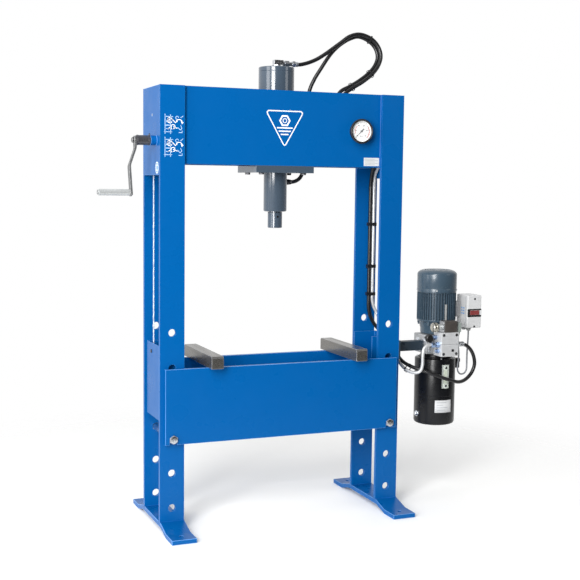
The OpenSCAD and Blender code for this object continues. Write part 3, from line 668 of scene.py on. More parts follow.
def safety_print():
    """Two line drawings, one above the other: a press, a hand wheel and a bent arrow."""
    bar_lo = span("upright_front_left")[0]
    pale, white = bmesh.new(), bmesh.new()
    for z0 in (1561, 1474):
        at = (bar_lo.x + 16, bar_lo.y, z0)
        for line in ([(4, 2), (4, 78)], [(26, 2), (26, 76)], [(0, 10), (32, 10)], [(2, 68), (36, 68)],
                [(8, 46), (17, 62)], [(54, 28), (64, 18), (71, 24), (66, 36)], [(66, 64), (76, 72)],
                [(58, 8), (72, 8), (72, 16)], [(8, 22), (21, 22)]):
            add_stroke(pale, line, 2.2, at, X, Z)
        add_stroke(pale, [(4, 35), (26, 35)], 3, at, X, Z)
        add_stroke(pale, arc(52, 64, 6, 0, 300), 2, at, X, Z)
        add_stroke(white, arc(23, 54, 10, 0, 330), 3.2, at, X, Z)
        add_stroke(white, arc(23, 54, 4, 0, 330), 2.6, at, X, Z)
        add_stroke(white, arc(36, 30, 8, -90, 210), 2.8, at, X, Z)
        for line in ([(31, 60), (45, 45), (53, 52)], [(36, 30), (53, 24)], [(14, 20), (24, 27), (32, 20)]):
            add_stroke(white, line, 3, at, X, Z)
        add_stroke(white, arc(60, 45, 13, 150, 20), 3, at, X, Z)
        add_prism(white, [(67, 52), (78, 47), (71, 40)], at, X, Z)
    piece("pictogram_lines", pale, PALE_BLUE)
    piece("pictogram_figures", white, WHITE)


def round_sticker():
    sticker, disc = bmesh.new(), bmesh.new()
    at = (-span("crosshead_ends")[1].x, -84, 1434)
    add_prism(disc, arc(0, 0, 24, 0, 354, 40), at, -Y, Z, 0.3)
    add_stroke(sticker, arc(0, 0, 21, 0, 350, 35), 3.4, at, -Y, Z, 0.5, closed=True)
    add_stroke(sticker, arc(0, 0, 11, 40, 320, 18), 4, at, -Y, Z, 0.5)
    piece("round_sticker", disc, PRINT_BLUE)
    piece("round_sticker_rings", sticker, WHITE)


def data_plate():
    lo, hi = (350, 1456), (420, 1490)
    y = span("crosshead_front")[0].y
    bm = bmesh.new()
    add_prism(bm, rectangle(*lo, *hi), (0, y, 0), X, Z, 0.9)
    piece("data_plate", bm, LABEL, bevel=0.2)
    lines = bmesh.new()
    for k in range(5):
        v = hi[1] - 6 - 5.6 * k
        right = hi[0] - (6 if k % 2 else 20)
        add_stroke(lines, [(lo[0] + 5, v), (right, v)], 1.6, (0, y - 0.9, 0), X, Z)
    piece("data_plate_rules", lines, PRINT_GREY)


badge()
safety_print()
round_sticker()
data_plate()


# ---- cylinder ----

def cylinder():
    dressed("cylinder_plate", GREY, 1.5, 3)
    dressed("gland_bush", BRONZE, 0.5)
    dressed("piston_rod", CHROME, 1.0, 3)
    dressed("piston", DARK_STEEL, 0.6)
    lo, hi = span("cylinder_barrel")
    r = 73
    cap = hi.z - 18
    bm = bmesh.new()
    add_lathe(bm, (0, 0, 0), Z, [(62.5, lo.z + 26), (r, lo.z + 26), (r, cap - 1), (r - 0.8, cap),
        (r, cap + 1), (r, hi.z - 2.5), (r - 2.5, hi.z), (8, hi.z), (8, cap), (62.5, cap)], 128)
    stand_in("barrel_tube", bm, GREY, "cylinder_barrel", smooth=25)
    bm = bmesh.new()
    add_ring(bm, (0, 0, lo.z + 27), Z, r - 1, r + 3.2, -3, 3, 96, 2.4)
    piece("barrel_weld", bm, GREY, smooth=50)
    bm = bmesh.new()
    flange_x, flange_y = 105, 88
    add_box(bm, (-flange_x, -flange_y, lo.z), (flange_x, flange_y, lo.z + 26))
    piece("barrel_flange", bm, GREY, bevel=2, segments=3)


def gland():
    z, seat = span("gland_housing")[0].z, 1476
    bm = bmesh.new()
    add_lathe(bm, (0, 0, 0), Z, [(28.6, z), (42, z), (45, z + 0.8), (47, z + 2.4), (48, z + 5.5), (48, seat),
        (62.2, seat), (62.2, seat + 15), (28.6, seat + 15), (28.6, z)], 128)
    stand_in("gland_body", bm, GREY, "gland_housing", smooth=25)
    bm = bmesh.new()
    add_ring(bm, (0, 0, z), Z, 28.4, 34, -0.6, 3, 64, 0.5)
    piece("wiper_ring", bm, PLASTIC)


def ram_nose():
    n, t = (corner.z for corner in span("ram_nose"))
    bm = bmesh.new()
    add_lathe(bm, (0, 0, 0), Z, [(0, n), (28.2, n), (30, n + 1.8), (30, t - 1), (29, t), (20, t), (0, t)],
        96)
    stand_in("ram_nose_body", bm, GREY, "ram_nose", smooth=25)
    bm = bmesh.new()
    screw = n + 46
    add_rod(bm, (0, -29, screw), (0, -31.2, screw), 4.5, 6, 0.3)
    piece("nose_set_screw", bm, DARK_STEEL, "ram")


def plate_bolts():
    under = span("cylinder_plate")[0].z
    bm = bmesh.new()
    for x in (-92, 92):
        for y in (-80, 80):
            add_rod(bm, (x, y, under), (x, y, under - 1.6), 12, 32, 0.3)
            add_hex(bm, (x, y, under - 1.6), (x, y, under - 7.5), 18)
            add_rod(bm, (x, y, under - 7.4), (x, y, under - 7.6), 7, 24, 0.1)
    stand_in("plate_bolt_heads", bm, DARK_STEEL, "plate_bolts")


def ports():
    top = span("cylinder_barrel")[1].z
    bm = bmesh.new()
    add_rod(bm, (0, 0, top), (0, 0, top + 7), 17, 48, 1.2)
    add_hex(bm, (0, 0, top + 7), (0, 0, top + 12), 30)
    add_box(bm, (-13, -13, top + 12), (26, 13, top + 30))
    add_rod(bm, (26, 0, top + 17), (33, 0, top + 17), 11, 32, 0.8)
    add_hex(bm, (33, 0, top + 17), (54, 0, top + 17), 24)
    add_rod(bm, (54, 0, top + 17), (68, 0, top + 17), 8.5, 32, 0.6)
    out = Vector((*HOSE_LOWER[0][:2], 0)).normalized()
    port = Vector((0, 0, HOSE_LOWER[0][2]))
    add_rod(bm, port + out * 46, port + out * 53, 12, 32, 1)
    add_hex(bm, port + out * 53, port + out * 60, 20)
    stand_in("port_elbows", bm, ZINC, "port_fittings", bevel=0.6)


cylinder()
gland()
ram_nose()
plate_bolts()
ports()


# ---- gauge ----

CASE = middle("gauge_case")
CASE_FRONT = span("gauge_case")[0].y
DIAL_DEPTH = 10.9


def gauge():
    at = (CASE.x, CASE_FRONT, CASE.z)
    rim, depth = 50.4, span("crosshead_front")[0].y - CASE_FRONT
    bm = bmesh.new()
    add_lathe(bm, at, Y, [(42.4, 15), (42.4, 5), (43, 1.6), (45, 0), (48, 0.4), (rim, 3.4), (rim, 11),
        (49, 12.2), (41, 14), (39, 17), (39, depth), (11, depth), (11, depth + 14), (0, depth + 14)], 128)
    stand_in("gauge_bezel", bm, PLASTIC, "gauge_case", smooth=28)
    low, high = DIAL_DEPTH, DIAL_DEPTH + 2
    bm = bmesh.new()
    add_lathe(bm, at, Y, [(0, low), (42.5, low), (42.5, high), (0, high)], 96)
    add_ring(bm, at, Y, 41.4, 42.5, 5.5, low, 96, 0.2)
    piece("gauge_dial", bm, DIAL)
    bm = bmesh.new()
    add_lathe(bm, at, Y, [(0, 3.2), (30, 3.2), (42.6, 3.6), (42.6, 4.8), (0, 4.8)], 96)
    stand_in("gauge_window", bm, GLASS, "gauge_glass")


def dial_marks():
    ticks, scale = bmesh.new(), bmesh.new()
    plane = (CASE.x, CASE_FRONT + DIAL_DEPTH, CASE.z)
    for k in range(51):
        a = math.radians(225 - 270 * k / 50)
        inner, width = (31, 1.2) if k % 5 == 0 else (34.5, 0.6)
        ends = [(math.cos(a) * inner, math.sin(a) * inner), (math.cos(a) * 38, math.sin(a) * 38)]
        add_stroke(ticks, ends, width, plane, X, Z, 0.5)
    for k in range(0, 51, 10):
        a = math.radians(225 - 270 * k / 50)
        u, v = math.cos(a) * 25.5, math.sin(a) * 25.5
        add_prism(ticks, rectangle(u - 3, v - 1.8, u + 3, v + 1.8), plane, X, Z)
    add_stroke(ticks, arc(0, 0, 39.4, 225, -45, 60), 0.7, plane, X, Z)
    add_prism(ticks, rectangle(-6, -21, 6, -18.6), plane, X, Z)
    piece("dial_ticks", ticks, PRINT)
    add_stroke(scale, arc(0, 0, 36, 30, -44, 30), 3.4, plane, X, Z, 0.25)
    add_stroke(scale, arc(0, 0, 28, 200, 130, 24), 2.6, plane, X, Z, 0.25)
    piece("dial_red_arcs", scale, PRINT_RED)


def needle():
    bm = bmesh.new()
    hub = span("gauge_pointer")[0].y
    add_lathe(bm, (CASE.x, hub - 0.2, CASE.z), Y, [(0, 0), (3.2, 0.2), (4.4, 1.2), (4.4, 3.2), (0, 3.2)], 32)
    d, n = Vector((-math.sqrt(0.5), -math.sqrt(0.5))), Vector((math.sqrt(0.5), -math.sqrt(0.5)))
    tail, tip = -14 * d, 35 * d
    outline = [tail + n * 2.4, tail - n * 2.4, -n * 1.4, tip, n * 1.4]
    add_prism(bm, [tuple(p) for p in outline], (CASE.x, hub + 2.4, CASE.z), X, Z, 1.2)
    stand_in("needle", bm, PRINT, "gauge_pointer")


def junction_block():
    lo, hi = span("gauge_block")
    port_y, right, top = HOSE_SUPPLY[0][1], 345, 1625
    bm = bmesh.new()
    add_box(bm, (lo.x, lo.y, top - 50), (right, hi.y, top))
    stand_in("junction_block", bm, CAST, "gauge_block", bevel=1.5)
    bm = bmesh.new()
    for x in (HOSE_LOWER[-1][0], HOSE_TOP[-1][0]):
        add_hex(bm, (x, port_y, top), (x, port_y, top + 11), 20)
        add_rod(bm, (x, port_y, top + 11), (x, port_y, top + 19), 8, 24)
    for z, reach, nut in ((HOSE_SUPPLY[0][2], 11, 20), (STEEL_PIPE[0][2], 8, 17)):
        add_hex(bm, (right, port_y, z), (right + reach, port_y, z), nut)
    piece("junction_adaptors", bm, ZINC)


gauge()
dial_marks()
needle()
junction_block()


# ---- winch ----

WINCH = Vector((0, -67, 1539))
ARM_TILT = math.radians(-15)
ARM_LENGTH = 208
DRUM_R = 18


def winch_brake():
    lo, hi = span("winch_brake")
    bm = bmesh.new()
    add_ring(bm, (lo.x, WINCH.y, WINCH.z), X, 10.2, 19, 0, hi.x - lo.x, 96, 0.8)
    for x in (4, 47):
        add_ring(bm, (lo.x + x, WINCH.y, WINCH.z), X, 18, 20.2, 0, 4, 96, 0.6)
    stand_in("brake_sleeve", bm, GUNMETAL, "winch_brake")
    bm = bmesh.new()
    add_rod(bm, (-551, WINCH.y, 1556), (-551, WINCH.y, 1560.5), 4, 6, 0.3)
    add_rod(bm, (-551, WINCH.y, 1560), (-551, WINCH.y, 1566), 2.2, 20, 0.8)
    piece("grease_nipple", bm, DARK_STEEL)


def crank():
    place = Matrix.Translation(WINCH) @ Matrix.Rotation(ARM_TILT, 4, "X")
    hub, step, thick = span("crank_arm")[1].x, 28, 8
    foot = hub - step
    outline = [(hub, 3), (hub - thick, 3), (hub - thick, -28), (hub - thick - 1.6, -35),
        (foot - thick + 1.4, -98), (foot - thick, -105), (foot - thick, -ARM_LENGTH - 12),
        (foot, -ARM_LENGTH - 12), (foot, -107), (foot + 1.5, -100), (hub - 1.6, -37), (hub, -30)]
    bm = bmesh.new()
    add_prism(bm, outline, (0, 13, 0), X, Z, 26)
    add_rod(bm, (hub - 8.5, 0, 0), (hub, 0, 0), 16, 64, 1)
    add_hex(bm, (hub - 16, 0, 0), (hub - 8.5, 0, 0), 19)
    add_rod(bm, (foot, 0, -ARM_LENGTH), (foot - thick - 1, 0, -ARM_LENGTH), 12.5, 48, 0.8)
    bm.transform(place)
    stand_in("crank_lever", bm, FORGED, "crank_arm", bevel=1.4, segments=3)
    grip_end, grip_start = foot - thick - 122.5, foot - thick - 1.2
    bm = bmesh.new()
    add_rod(bm, (grip_end - 1, 0, -ARM_LENGTH), (foot - 2, 0, -ARM_LENGTH), 6.9, 32)
    add_rod(bm, (grip_end - 3.4, 0, -ARM_LENGTH), (grip_end - 0.6, 0, -ARM_LENGTH), 8.8, 40, 0.8)
    bm.transform(place)
    piece("grip_spindle", bm, STEEL, "crank")
    length = grip_start - grip_end
    bm = bmesh.new()
    add_lathe(bm, (grip_end, 0, -ARM_LENGTH), X, [(7.05, 0), (10.8, 0), (12.4, 1.6), (12.4, length - 1.6),
        (10.8, length), (7.05, length), (7.05, 0)], 64)
    bm.transform(place)
    stand_in("grip_sleeve", bm, SLEEVE, "crank_grip")


def sheaves():
    for node in ("winch_reel", "guide_sheave", "cross_sheave_left", "cross_sheave_right"):
        dressed(node, DARK_STEEL, 0.5)
    dressed("sheave_axles", STEEL, 0.8)


def add_rope(bm, path, radius=3.0):
    add_tube(bm, path, radius, 24, 0.16, 6, 0.22)


def straight(a, b, step=8.0):
    a, b = Vector(a), Vector(b)
    count = max(2, round((b - a).length / step))
    return [a.lerp(b, k / count) for k in range(count + 1)]


def bend(centre, u, v, radius, start, stop, steps=16):
    centre, u, v = Vector(centre), Vector(u), Vector(v)
    return [centre + radius * (math.cos(math.radians(a)) * u + math.sin(math.radians(a)) * v)
        for a in [start + (stop - start) * k / steps for k in range(steps + 1)]]


def hanging_ropes():
    """The two lengths that shorten as the table rises."""
    for node in ("rope_left", "rope_right"):
        lo, hi = span(node)
        x, y = middle(node).x, middle(node).y
        bm = bmesh.new()
        add_rope(bm, straight((x, y, lo.z), (x, y, hi.z)))
        obj = stand_in(node + "_strands", bm, ROPE, node, smooth=60)
        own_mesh(obj)


def rope_turns():
    """The runs over the wheels and round the winch, which stay as they are."""
    left, right = middle("rope_left"), middle("rope_right")
    guide, low, high = middle("guide_sheave"), middle("cross_sheave_left"), middle("cross_sheave_right")
    radius = left.y - guide.y
    bm = bmesh.new()
    over = straight((left.x, left.y, span("rope_left")[1].z), (left.x, left.y, guide.z - 6))
    over += bend(guide, Y, Z, radius, 0, 180, 28)
    over += straight((left.x, guide.y - radius, guide.z - 6), (left.x, guide.y - radius, WINCH.z))[:-1]
    over += bend((left.x, WINCH.y, WINCH.z), Y, Z, DRUM_R, 0, -170, 20)
    add_rope(bm, over)
    groove_x, small = low.x - 16, 16
    run = bend((groove_x, WINCH.y, WINCH.z), Y, Z, DRUM_R, 10, 180, 20)
    run += straight((groove_x, low.y, WINCH.z - 4), (groove_x, low.y, low.z + 2), 6)
    run += bend(low, X, Z, small, 180, 270, 14)
    run += straight((low.x + 6, low.y, low.z - small), (high.x - 6, low.y, low.z - small))
    run += bend(high, X, Z, small, 90, 0, 14)
    run += straight((right.x, right.y, high.z - 4), (right.x, right.y, span("rope_right")[1].z), 6)
    add_rope(bm, run)
    for k in (1, 2):
        add_rope(bm, bend((left.x - 1 + 5.8 * k, WINCH.y, WINCH.z), Y, Z, DRUM_R, 0, 350, 32))
    stand_in("rope_turns", bm, ROPE, "rope_cross", smooth=60)


def rope_ends():
    ends, brackets = bmesh.new(), bmesh.new()
    web = span("table_guides")[1].x - 6
    for node, near, far in (("rope_left", -web, 26 - web), ("rope_right", web - 26, web)):
        low_end = span(node)[0].z
        x, y = middle(node).x, middle(node).y
        add_rod(ends, (x, y, low_end - 22), (x, y, low_end + 12), 4.4, 24, 0.8)
        add_hex(ends, (x, y, low_end - 22), (x, y, low_end - 14), 11)
        add_box(brackets, (near, y - 14, low_end - 14), (far, y + 14, low_end - 6))
    piece("rope_ends", ends, ZINC, "table")
    piece("rope_brackets", brackets, BLUE, "table", bevel=0.8)


winch_brake()
crank()
sheaves()
hanging_ropes()
rope_turns()
rope_ends()


# ---- table ----

def table():
    for node in ("table_front", "table_rear"):
        dressed(node, BLUE, 0.9, 3)
    dressed("table_guides", BLUE)
    dressed("table_spacers", BLUE)
    for node in ("block_left", "block_right"):
        dressed(node, BLOCK_STEEL, 1.4, 3, 20)
    bm = bmesh.new()
    front_hi = span("table_front")[1]
    spacer_lo, spacer_hi = span("table_spacers")
    for s in (-1, 1):
        for y in (front_hi.y, -front_hi.y):
            for x in (spacer_hi.x, spacer_hi.x - 10):
                add_weld(bm, (s * x, y, spacer_lo.z + 3), (s * x, y, spacer_hi.z - 3), 3)
    piece("table_welds", bm, BLUE_WELD, "table", smooth=60)
    bm = bmesh.new()
    lo, hi = span("table_guides")
    y, z = 21, hi.z - 34
    for x in (lo.x - 3, hi.x):
        add_rod(bm, (x, y, z), (x + 3, y, z), 8, 6, 0.6)
    piece("guide_bolts", bm, DARK_STEEL, "table")


def pins():
    for node in ("pin_left", "pin_right"):
        lo, hi = span(node)
        x, z = middle(node).x, middle(node).z
        r = 14
        bm = bmesh.new()
        add_lathe(bm, (x, lo.y, z), Y, [(0, 4), (3, 4), (3, 0.2), (3.4, 0), (12.5, 0), (14.4, 0.7),
            (14.4, 1.2)], 64)
        add_hex(bm, (x, lo.y + 0.9, z), (x, lo.y + 9, z), 32, 0.5)
        body = hi.y - lo.y
        add_lathe(bm, (x, lo.y, z), Y, [(r - 0.8, 9), (r, 9.8), (r, body - 4), (r - 4, body), (0, body)], 64)
        stand_in(node + "_body", bm, ZINC, node, smooth=25)


table()
pins()


# ---- power unit ----

UNIT_X = 775
UNIT = Vector((UNIT_X, 0, 0))
TANK_R = 90
COWL_R = 87
VALVE_FRONT, VALVE_TOP = -140, 746


def around(radius, degrees, z):
    """A point at this distance and bearing from the power unit's axis, and the way out from there."""
    turn = math.radians(degrees)
    out = Vector((math.cos(turn), math.sin(turn), 0))
    return Vector((UNIT_X, 0, z)) + out * radius, out


def tank():
    low, top = span("tank")[0].z, span("pump")[1].z + 8
    r, seam, lid = TANK_R, low + 128, 65.2
    bm = bmesh.new()
    add_lathe(bm, UNIT, Z, [(0, low), (r - 8, low), (r - 3, low + 3), (r, low + 10), (r, seam - 2),
        (r - 0.9, seam - 0.6), (r - 0.9, seam + 0.6), (r, seam + 2), (r, top - 5), (r - 1.4, top - 1.6),
        (r - 5, top), (lid, top), (lid, top - 5), (r - 4, top - 5), (r - 4, low + 5), (0, low + 5)], 128)
    stand_in("tank_shell", bm, BLACK, "tank", smooth=25)
    cap_x, cup_z = middle("filler_cap").x, span("filler_cap")[0].z + 10
    bm = bmesh.new()
    add_rod(bm, (UNIT_X + r - 3, 0, cup_z - 14), (cap_x - 5, 0, cup_z - 14), 11, 40)
    add_ring(bm, (cap_x, 0, 0), Z, 9.6, 13, cup_z - 26, cup_z, 48)
    add_rod(bm, (cap_x, 0, cup_z - 26), (cap_x, 0, cup_z - 20), 12.4, 48, 1)
    piece("filler_neck", bm, BLACK)
    bm = bmesh.new()
    foot, out = around(r - 1, 183, 371)
    add_rod(bm, foot, foot + out * 3, 13, 40, 0.6)
    add_hex(bm, foot + out * 3, foot + out * 10, 17)
    piece("drain_plug", bm, ZINC)


def curved_patch(name, mat, x0, x1, z0, z1, lift):
    """A label that lies on the front of the tank."""
    r, steps = TANK_R + lift, 20
    bm = bmesh.new()
    rows = []
    for z in (z0, z1):
        xs = [x0 + (x1 - x0) * k / steps for k in range(steps + 1)]
        rows.append([bm.verts.new((x, -math.sqrt(r * r - (x - UNIT_X) ** 2), z)) for x in xs])
    for k in range(steps):
        bm.faces.new((rows[0][k], rows[0][k + 1], rows[1][k + 1], rows[1][k]))
    thick = piece(name, bm, mat).modifiers.new("thickness", "SOLIDIFY")
    thick.thickness = 0.25 * MM


def tank_label():
    curved_patch("tank_label", LABEL, 733, 812, 384, 439, 0.4)
    for k, right in enumerate((786, 770, 792, 778)):
        z = 428 - 11 * k
        curved_patch(f"tank_label_rule_{k}", PRINT_GREY, 741, right, z, z + 1.8, 0.75)


def level_gauge():
    lo, hi = span("level_gauge")
    cx, face = middle("level_gauge").x, lo.y
    bm = bmesh.new()
    add_box(bm, (cx - 15, face + 2.5, lo.z + 1), (cx + 15, face + 14, hi.z - 1))
    for z in (lo.z + 13, hi.z - 13):
        add_rod(bm, (cx, face + 6, z), (cx, face + 0.4, z), 12.5, 48, 1.6)
    stand_in("level_gauge_body", bm, CLEAR, "level_gauge", bevel=3, segments=3)
    bm = bmesh.new()
    add_box(bm, (cx - 9, face + 4.5, lo.z + 10), (cx + 9, face + 9, hi.z - 10))
    piece("level_gauge_slot", bm, OIL, bevel=2)
    bm = bmesh.new()
    for z in (lo.z + 13, hi.z - 13):
        add_rod(bm, (cx, face + 1.5, z), (cx, face - 0.1, z), 6.5, 6, 0.6)
    piece("level_gauge_screws", bm, ZINC)


def filler_cap():
    lo, hi = span("filler_cap")
    c = middle("filler_cap")
    bm = bmesh.new()
    add_lathe(bm, (c.x, c.y, 0), Z, [(0, lo.z), (8.8, lo.z), (8.8, lo.z + 10.2), (14.6, lo.z + 10.2),
        (15.2, lo.z + 11.2), (15.2, hi.z - 4), (13.6, hi.z - 0.6), (10, hi.z), (0, hi.z)], 48)
    for k in range(18):
        turn = 2 * math.pi * k / 18
        rib = Vector((c.x + 14.7 * math.cos(turn), c.y + 14.7 * math.sin(turn), 0))
        add_rod(bm, rib + Z * (lo.z + 12), rib + Z * (hi.z - 4.5), 1.2, 8, 0.3)
    stand_in("filler_cap_body", bm, PLASTIC, "filler_cap")


def pump_block():
    dressed("pump", CAST)
    lo, hi = (690, -70, 645), (855, 45, 727)
    bm = bmesh.new()
    add_box(bm, lo, hi)
    for x in (704, 842):
        add_box(bm, (x - 6, lo[1] - 2, lo[2] + 8), (x + 6, lo[1] + 6, hi[2] - 8))
    stand_in("pump_block", bm, CAST, "manifold", bevel=4, segments=4)
    lid = 620
    bm = bmesh.new()
    add_lathe(bm, UNIT, Z, [(0, lid - 8), (64.8, lid - 8), (64.8, lid + 0.3), (70, lid + 0.3),
        (71, lid + 1.4), (71, lid + 7), (67, lid + 8), (66, lid + 12), (65, lid + 13), (64, lid + 25.4),
        (0, lid + 25.4)], 128)
    piece("tank_flange", bm, BLACK, smooth=25)
    bm = bmesh.new()
    for k in range(6):
        foot, _ = around(79, 20 + 60 * k, lid - 0.2)
        add_rod(bm, foot, foot + Z * 4.5, 5, 6, 0.5)
    for x, z in ((842, 715), (842, 657), (704, 657)):
        add_rod(bm, (x, lo[1], z), (x, lo[1] - 5, z), 5, 24, 0.6)
    for y, z in ((-45, 700), (10, 700), (-20, 662)):
        add_hex(bm, (lo[0] + 1, y, z), (lo[0] - 5, y, z), 19)
        add_hex(bm, (hi[0] - 1, y, z), (hi[0] + 5, y, z), 19)
    piece("block_plugs", bm, ZINC)
    dressed("unit_bracket", SLATE)
    bm = bmesh.new()
    for y in (-100, 40):
        for z in (658, 702):
            add_hex(bm, (533, y, z), (540, y, z), 17)
    piece("bracket_bolts", bm, ZINC)


def motor():
    bell, cowl = span("motor_body")[0].z, span("fan_cowl")[0].z
    r, core, fin_low, fin_high = 86, 76.5, 792, cowl - 5
    bm = bmesh.new()
    add_lathe(bm, UNIT, Z, [(26, bell), (60, bell), (66, bell + 1.5), (69, bell + 5), (69.5, bell + 23),
        (76, fin_low - 13), (83, fin_low - 9), (r, fin_low - 4), (r, fin_low), (core, fin_low),
        (core, cowl - 4), (r - 0.4, cowl - 4), (r - 0.4, cowl), (72.4, cowl), (72.4, fin_low - 6),
        (26, fin_low - 14), (26, bell)], 128)
    stand_in("motor_core", bm, MOTOR, "motor_body", smooth=25)
    fin_outline = [(core - 1, -1.5), (r - 0.5, -0.8), (r, 0), (r - 0.5, 0.8), (core - 1, 1.5)]
    bm = bmesh.new()
    for k in range(3, 42):
        turn = math.radians(8 * k)
        u, v = Vector((math.cos(turn), math.sin(turn), 0)), Vector((-math.sin(turn), math.cos(turn), 0))
        add_prism(bm, fin_outline, (UNIT_X, 0, fin_low - 0.5), u, v, fin_high - fin_low + 1)
    piece("motor_fins", bm, MOTOR)
    bm = bmesh.new()
    for degrees in (35, 145, 215, 325):
        foot, _ = around(76, degrees, fin_low - 22)
        add_rod(bm, foot, foot + Z * 16, 7, 24, 1.5)
        add_rod(bm, foot - Z * 5, foot, 5, 6, 0.5)
    piece("motor_bosses", bm, MOTOR, bevel=1.2)
    bm = bmesh.new()
    add_box(bm, (UNIT_X - 4, -r - 0.6, fin_low), (UNIT_X + 4, -core, 862))
    piece("motor_strip", bm, GREY_PLASTIC, bevel=1.5, segments=3)
    bm = bmesh.new()
    add_box(bm, (855, 0, 796), (893, 24, 866))
    piece("terminal_neck", bm, BOX_GREY, bevel=2, segments=3)


def fan_cowl():
    low, top = span("fan_cowl")[0].z, span("fan_cowl")[1].z
    r, flat = COWL_R, 66
    bm = bmesh.new()
    add_lathe(bm, UNIT, Z, [(r - 3, low), (r, low), (r, low + 12), (r - 0.7, low + 14), (r, low + 16),
        (r, top - 19), (r - 0.8, top - 15), (r - 4, top - 10), (r - 12, top - 4.4), (flat, top - 0.6),
        (flat - 3, top), (62, top), (62, top - 3), (flat - 2, top - 3.5), (r - 13, top - 7.5),
        (r - 4, top - 17), (r - 3, top - 20), (r - 3, low)], 128)
    for outer in (62, 51, 40, 29):
        add_ring(bm, UNIT, Z, outer - 6, outer - 0.01, top - 3, top, 96, 0.4)
    add_rod(bm, (UNIT_X, 0, top - 3), (UNIT_X, 0, top), 18, 64, 0.4)
    for k in range(12):
        turn = Matrix.Translation(UNIT) @ Matrix.Rotation(math.radians(30 * k), 4, "Z")
        add_box(bm, (16, -2.4, top - 2.8), (60, 2.4, top - 0.3), turn)
    stand_in("cowl_shell", bm, MOTOR, "fan_cowl", smooth=28)
    bm = bmesh.new()
    for degrees in (60, 150, 240, 330):
        foot, out = around(r - 1, degrees, low + 7)
        add_rod(bm, foot, foot + out * 3, 4, 24, 0.8)
    piece("cowl_screws", bm, ZINC)
    dressed("motor_rotor", DARK_STEEL, 0.6)


def control_box():
    lo, hi = span("control_box")
    case_low, face = 751, lo.y
    bm = bmesh.new()
    add_box(bm, (lo.x, lo.y, case_low), (hi.x - 0.7, hi.y, hi.z))
    stand_in("switch_case", bm, BOX_GREY, "control_box", bevel=5, segments=4)
    bm = bmesh.new()
    add_box(bm, (lo.x - 0.6, lo.y + 16, case_low + 6), (hi.x - 0.1, lo.y + 18.5, hi.z - 6))
    piece("case_joint", bm, PRINT_GREY, bevel=0.3)
    sx, sz = middle("rocker").x, middle("rocker").z
    bm = bmesh.new()
    add_window(bm, (lo.x + 1.5, 801, hi.x - 1.5, 836.5), (sx - 24, sz - 11, sx + 24, sz + 11), face - 2.2,
        face + 4)
    piece("switch_frame", bm, PLASTIC, bevel=1.8, segments=3)
    bm = bmesh.new()
    add_box(bm, (sx - 23, face - 3, sz - 10), (sx + 23, face + 3, sz + 10))
    stand_in("rocker_body", bm, RED, "rocker", bevel=1.4, segments=3)
    bm = bmesh.new()
    add_box(bm, (sx + 25, face - 2.8, sz - 11), (hi.x - 3, face, sz + 11))
    piece("switch_lamp", bm, LABEL, bevel=0.6)
    bm = bmesh.new()
    for z in (case_low + 7, hi.z - 16):
        add_rod(bm, (sx, face + 1, z), (sx, face - 1.2, z), 4.5, 24, 0.6)
        add_box(bm, (sx - 3, face - 1.5, z - 0.6), (sx + 3, face - 1.0, z + 0.6))
    piece("case_screws", bm, DARK_STEEL)
    bm = bmesh.new()
    gland_x, used_y = CABLE_VALVE[0][:2]
    for y in (used_y, used_y + 40):
        add_hex(bm, (gland_x, y, case_low + 0.5), (gland_x, y, case_low - 6), 21)
        add_lathe(bm, (gland_x, y, case_low - 6), -Z, [(0, 0), (9.6, 0), (9.6, 5), (7, 7.6), (3.6, 7.8),
            (0, 7.8)], 32)
    piece("cable_glands", bm, GREY_PLASTIC)
    bm = bmesh.new()
    for k in range(3):
        z = 836 - 12 * k
        add_prism(bm, rectangle(14, z, 24, z + 6), (lo.x, 0, 0), -Y, Z)
        add_prism(bm, rectangle(28, z, 44, z + 6), (lo.x, 0, 0), -Y, Z)
    piece("case_marks", bm, PRINT_BLUE)


def valve():
    x0, y0, z0, x1, y1, z1 = 725, VALVE_FRONT, 641, 810, -70, VALVE_TOP
    bm = bmesh.new()
    add_box(bm, (x0, y0, z0), (x1, y1, 694))
    add_box(bm, (x0, y0, 694.8), (x1, y1, z1))
    stand_in("valve_body", bm, VALVE_GREY, "valve_block", bevel=2, segments=3)
    bm = bmesh.new()
    for x in (x0 + 11, x1 - 11):
        for z in (653, 735):
            add_ring(bm, (x, y0, z), -Y, 3.2, 6.4, -0.6, 0.5, 32, 0.2)
            add_rod(bm, (x, y0, z), (x, y0 + 1, z), 3.4, 6, 0.1)
    add_rod(bm, (780, y0 + 1, 668), (780, y0 - 3, 668), 6.5, 6, 0.5)
    piece("valve_screws", bm, DARK_STEEL)
    bm = bmesh.new()
    _, y, z = HOSE_SUPPLY[-1]
    add_hex(bm, (x1, y, z), (x1 + 11, y, z), 22)
    add_rod(bm, (x1 + 11, y, z), (x1 + 18, y, z), 8.5)
    piece("valve_adaptor", bm, ZINC)
    bm = bmesh.new()
    for y, z, nut, reach in ((-115, 692, 23.5, 22), (-115, 664, 17.5, 16), (-92, 722, 17.5, 17)):
        add_hex(bm, (x0, y, z), (x0 - reach * 0.55, y, z), nut)
        add_rod(bm, (x0 - reach * 0.55, y, z), (x0 - reach, y, z), nut * 0.42)
    piece("blue_fittings", bm, BLUE_ZINC)


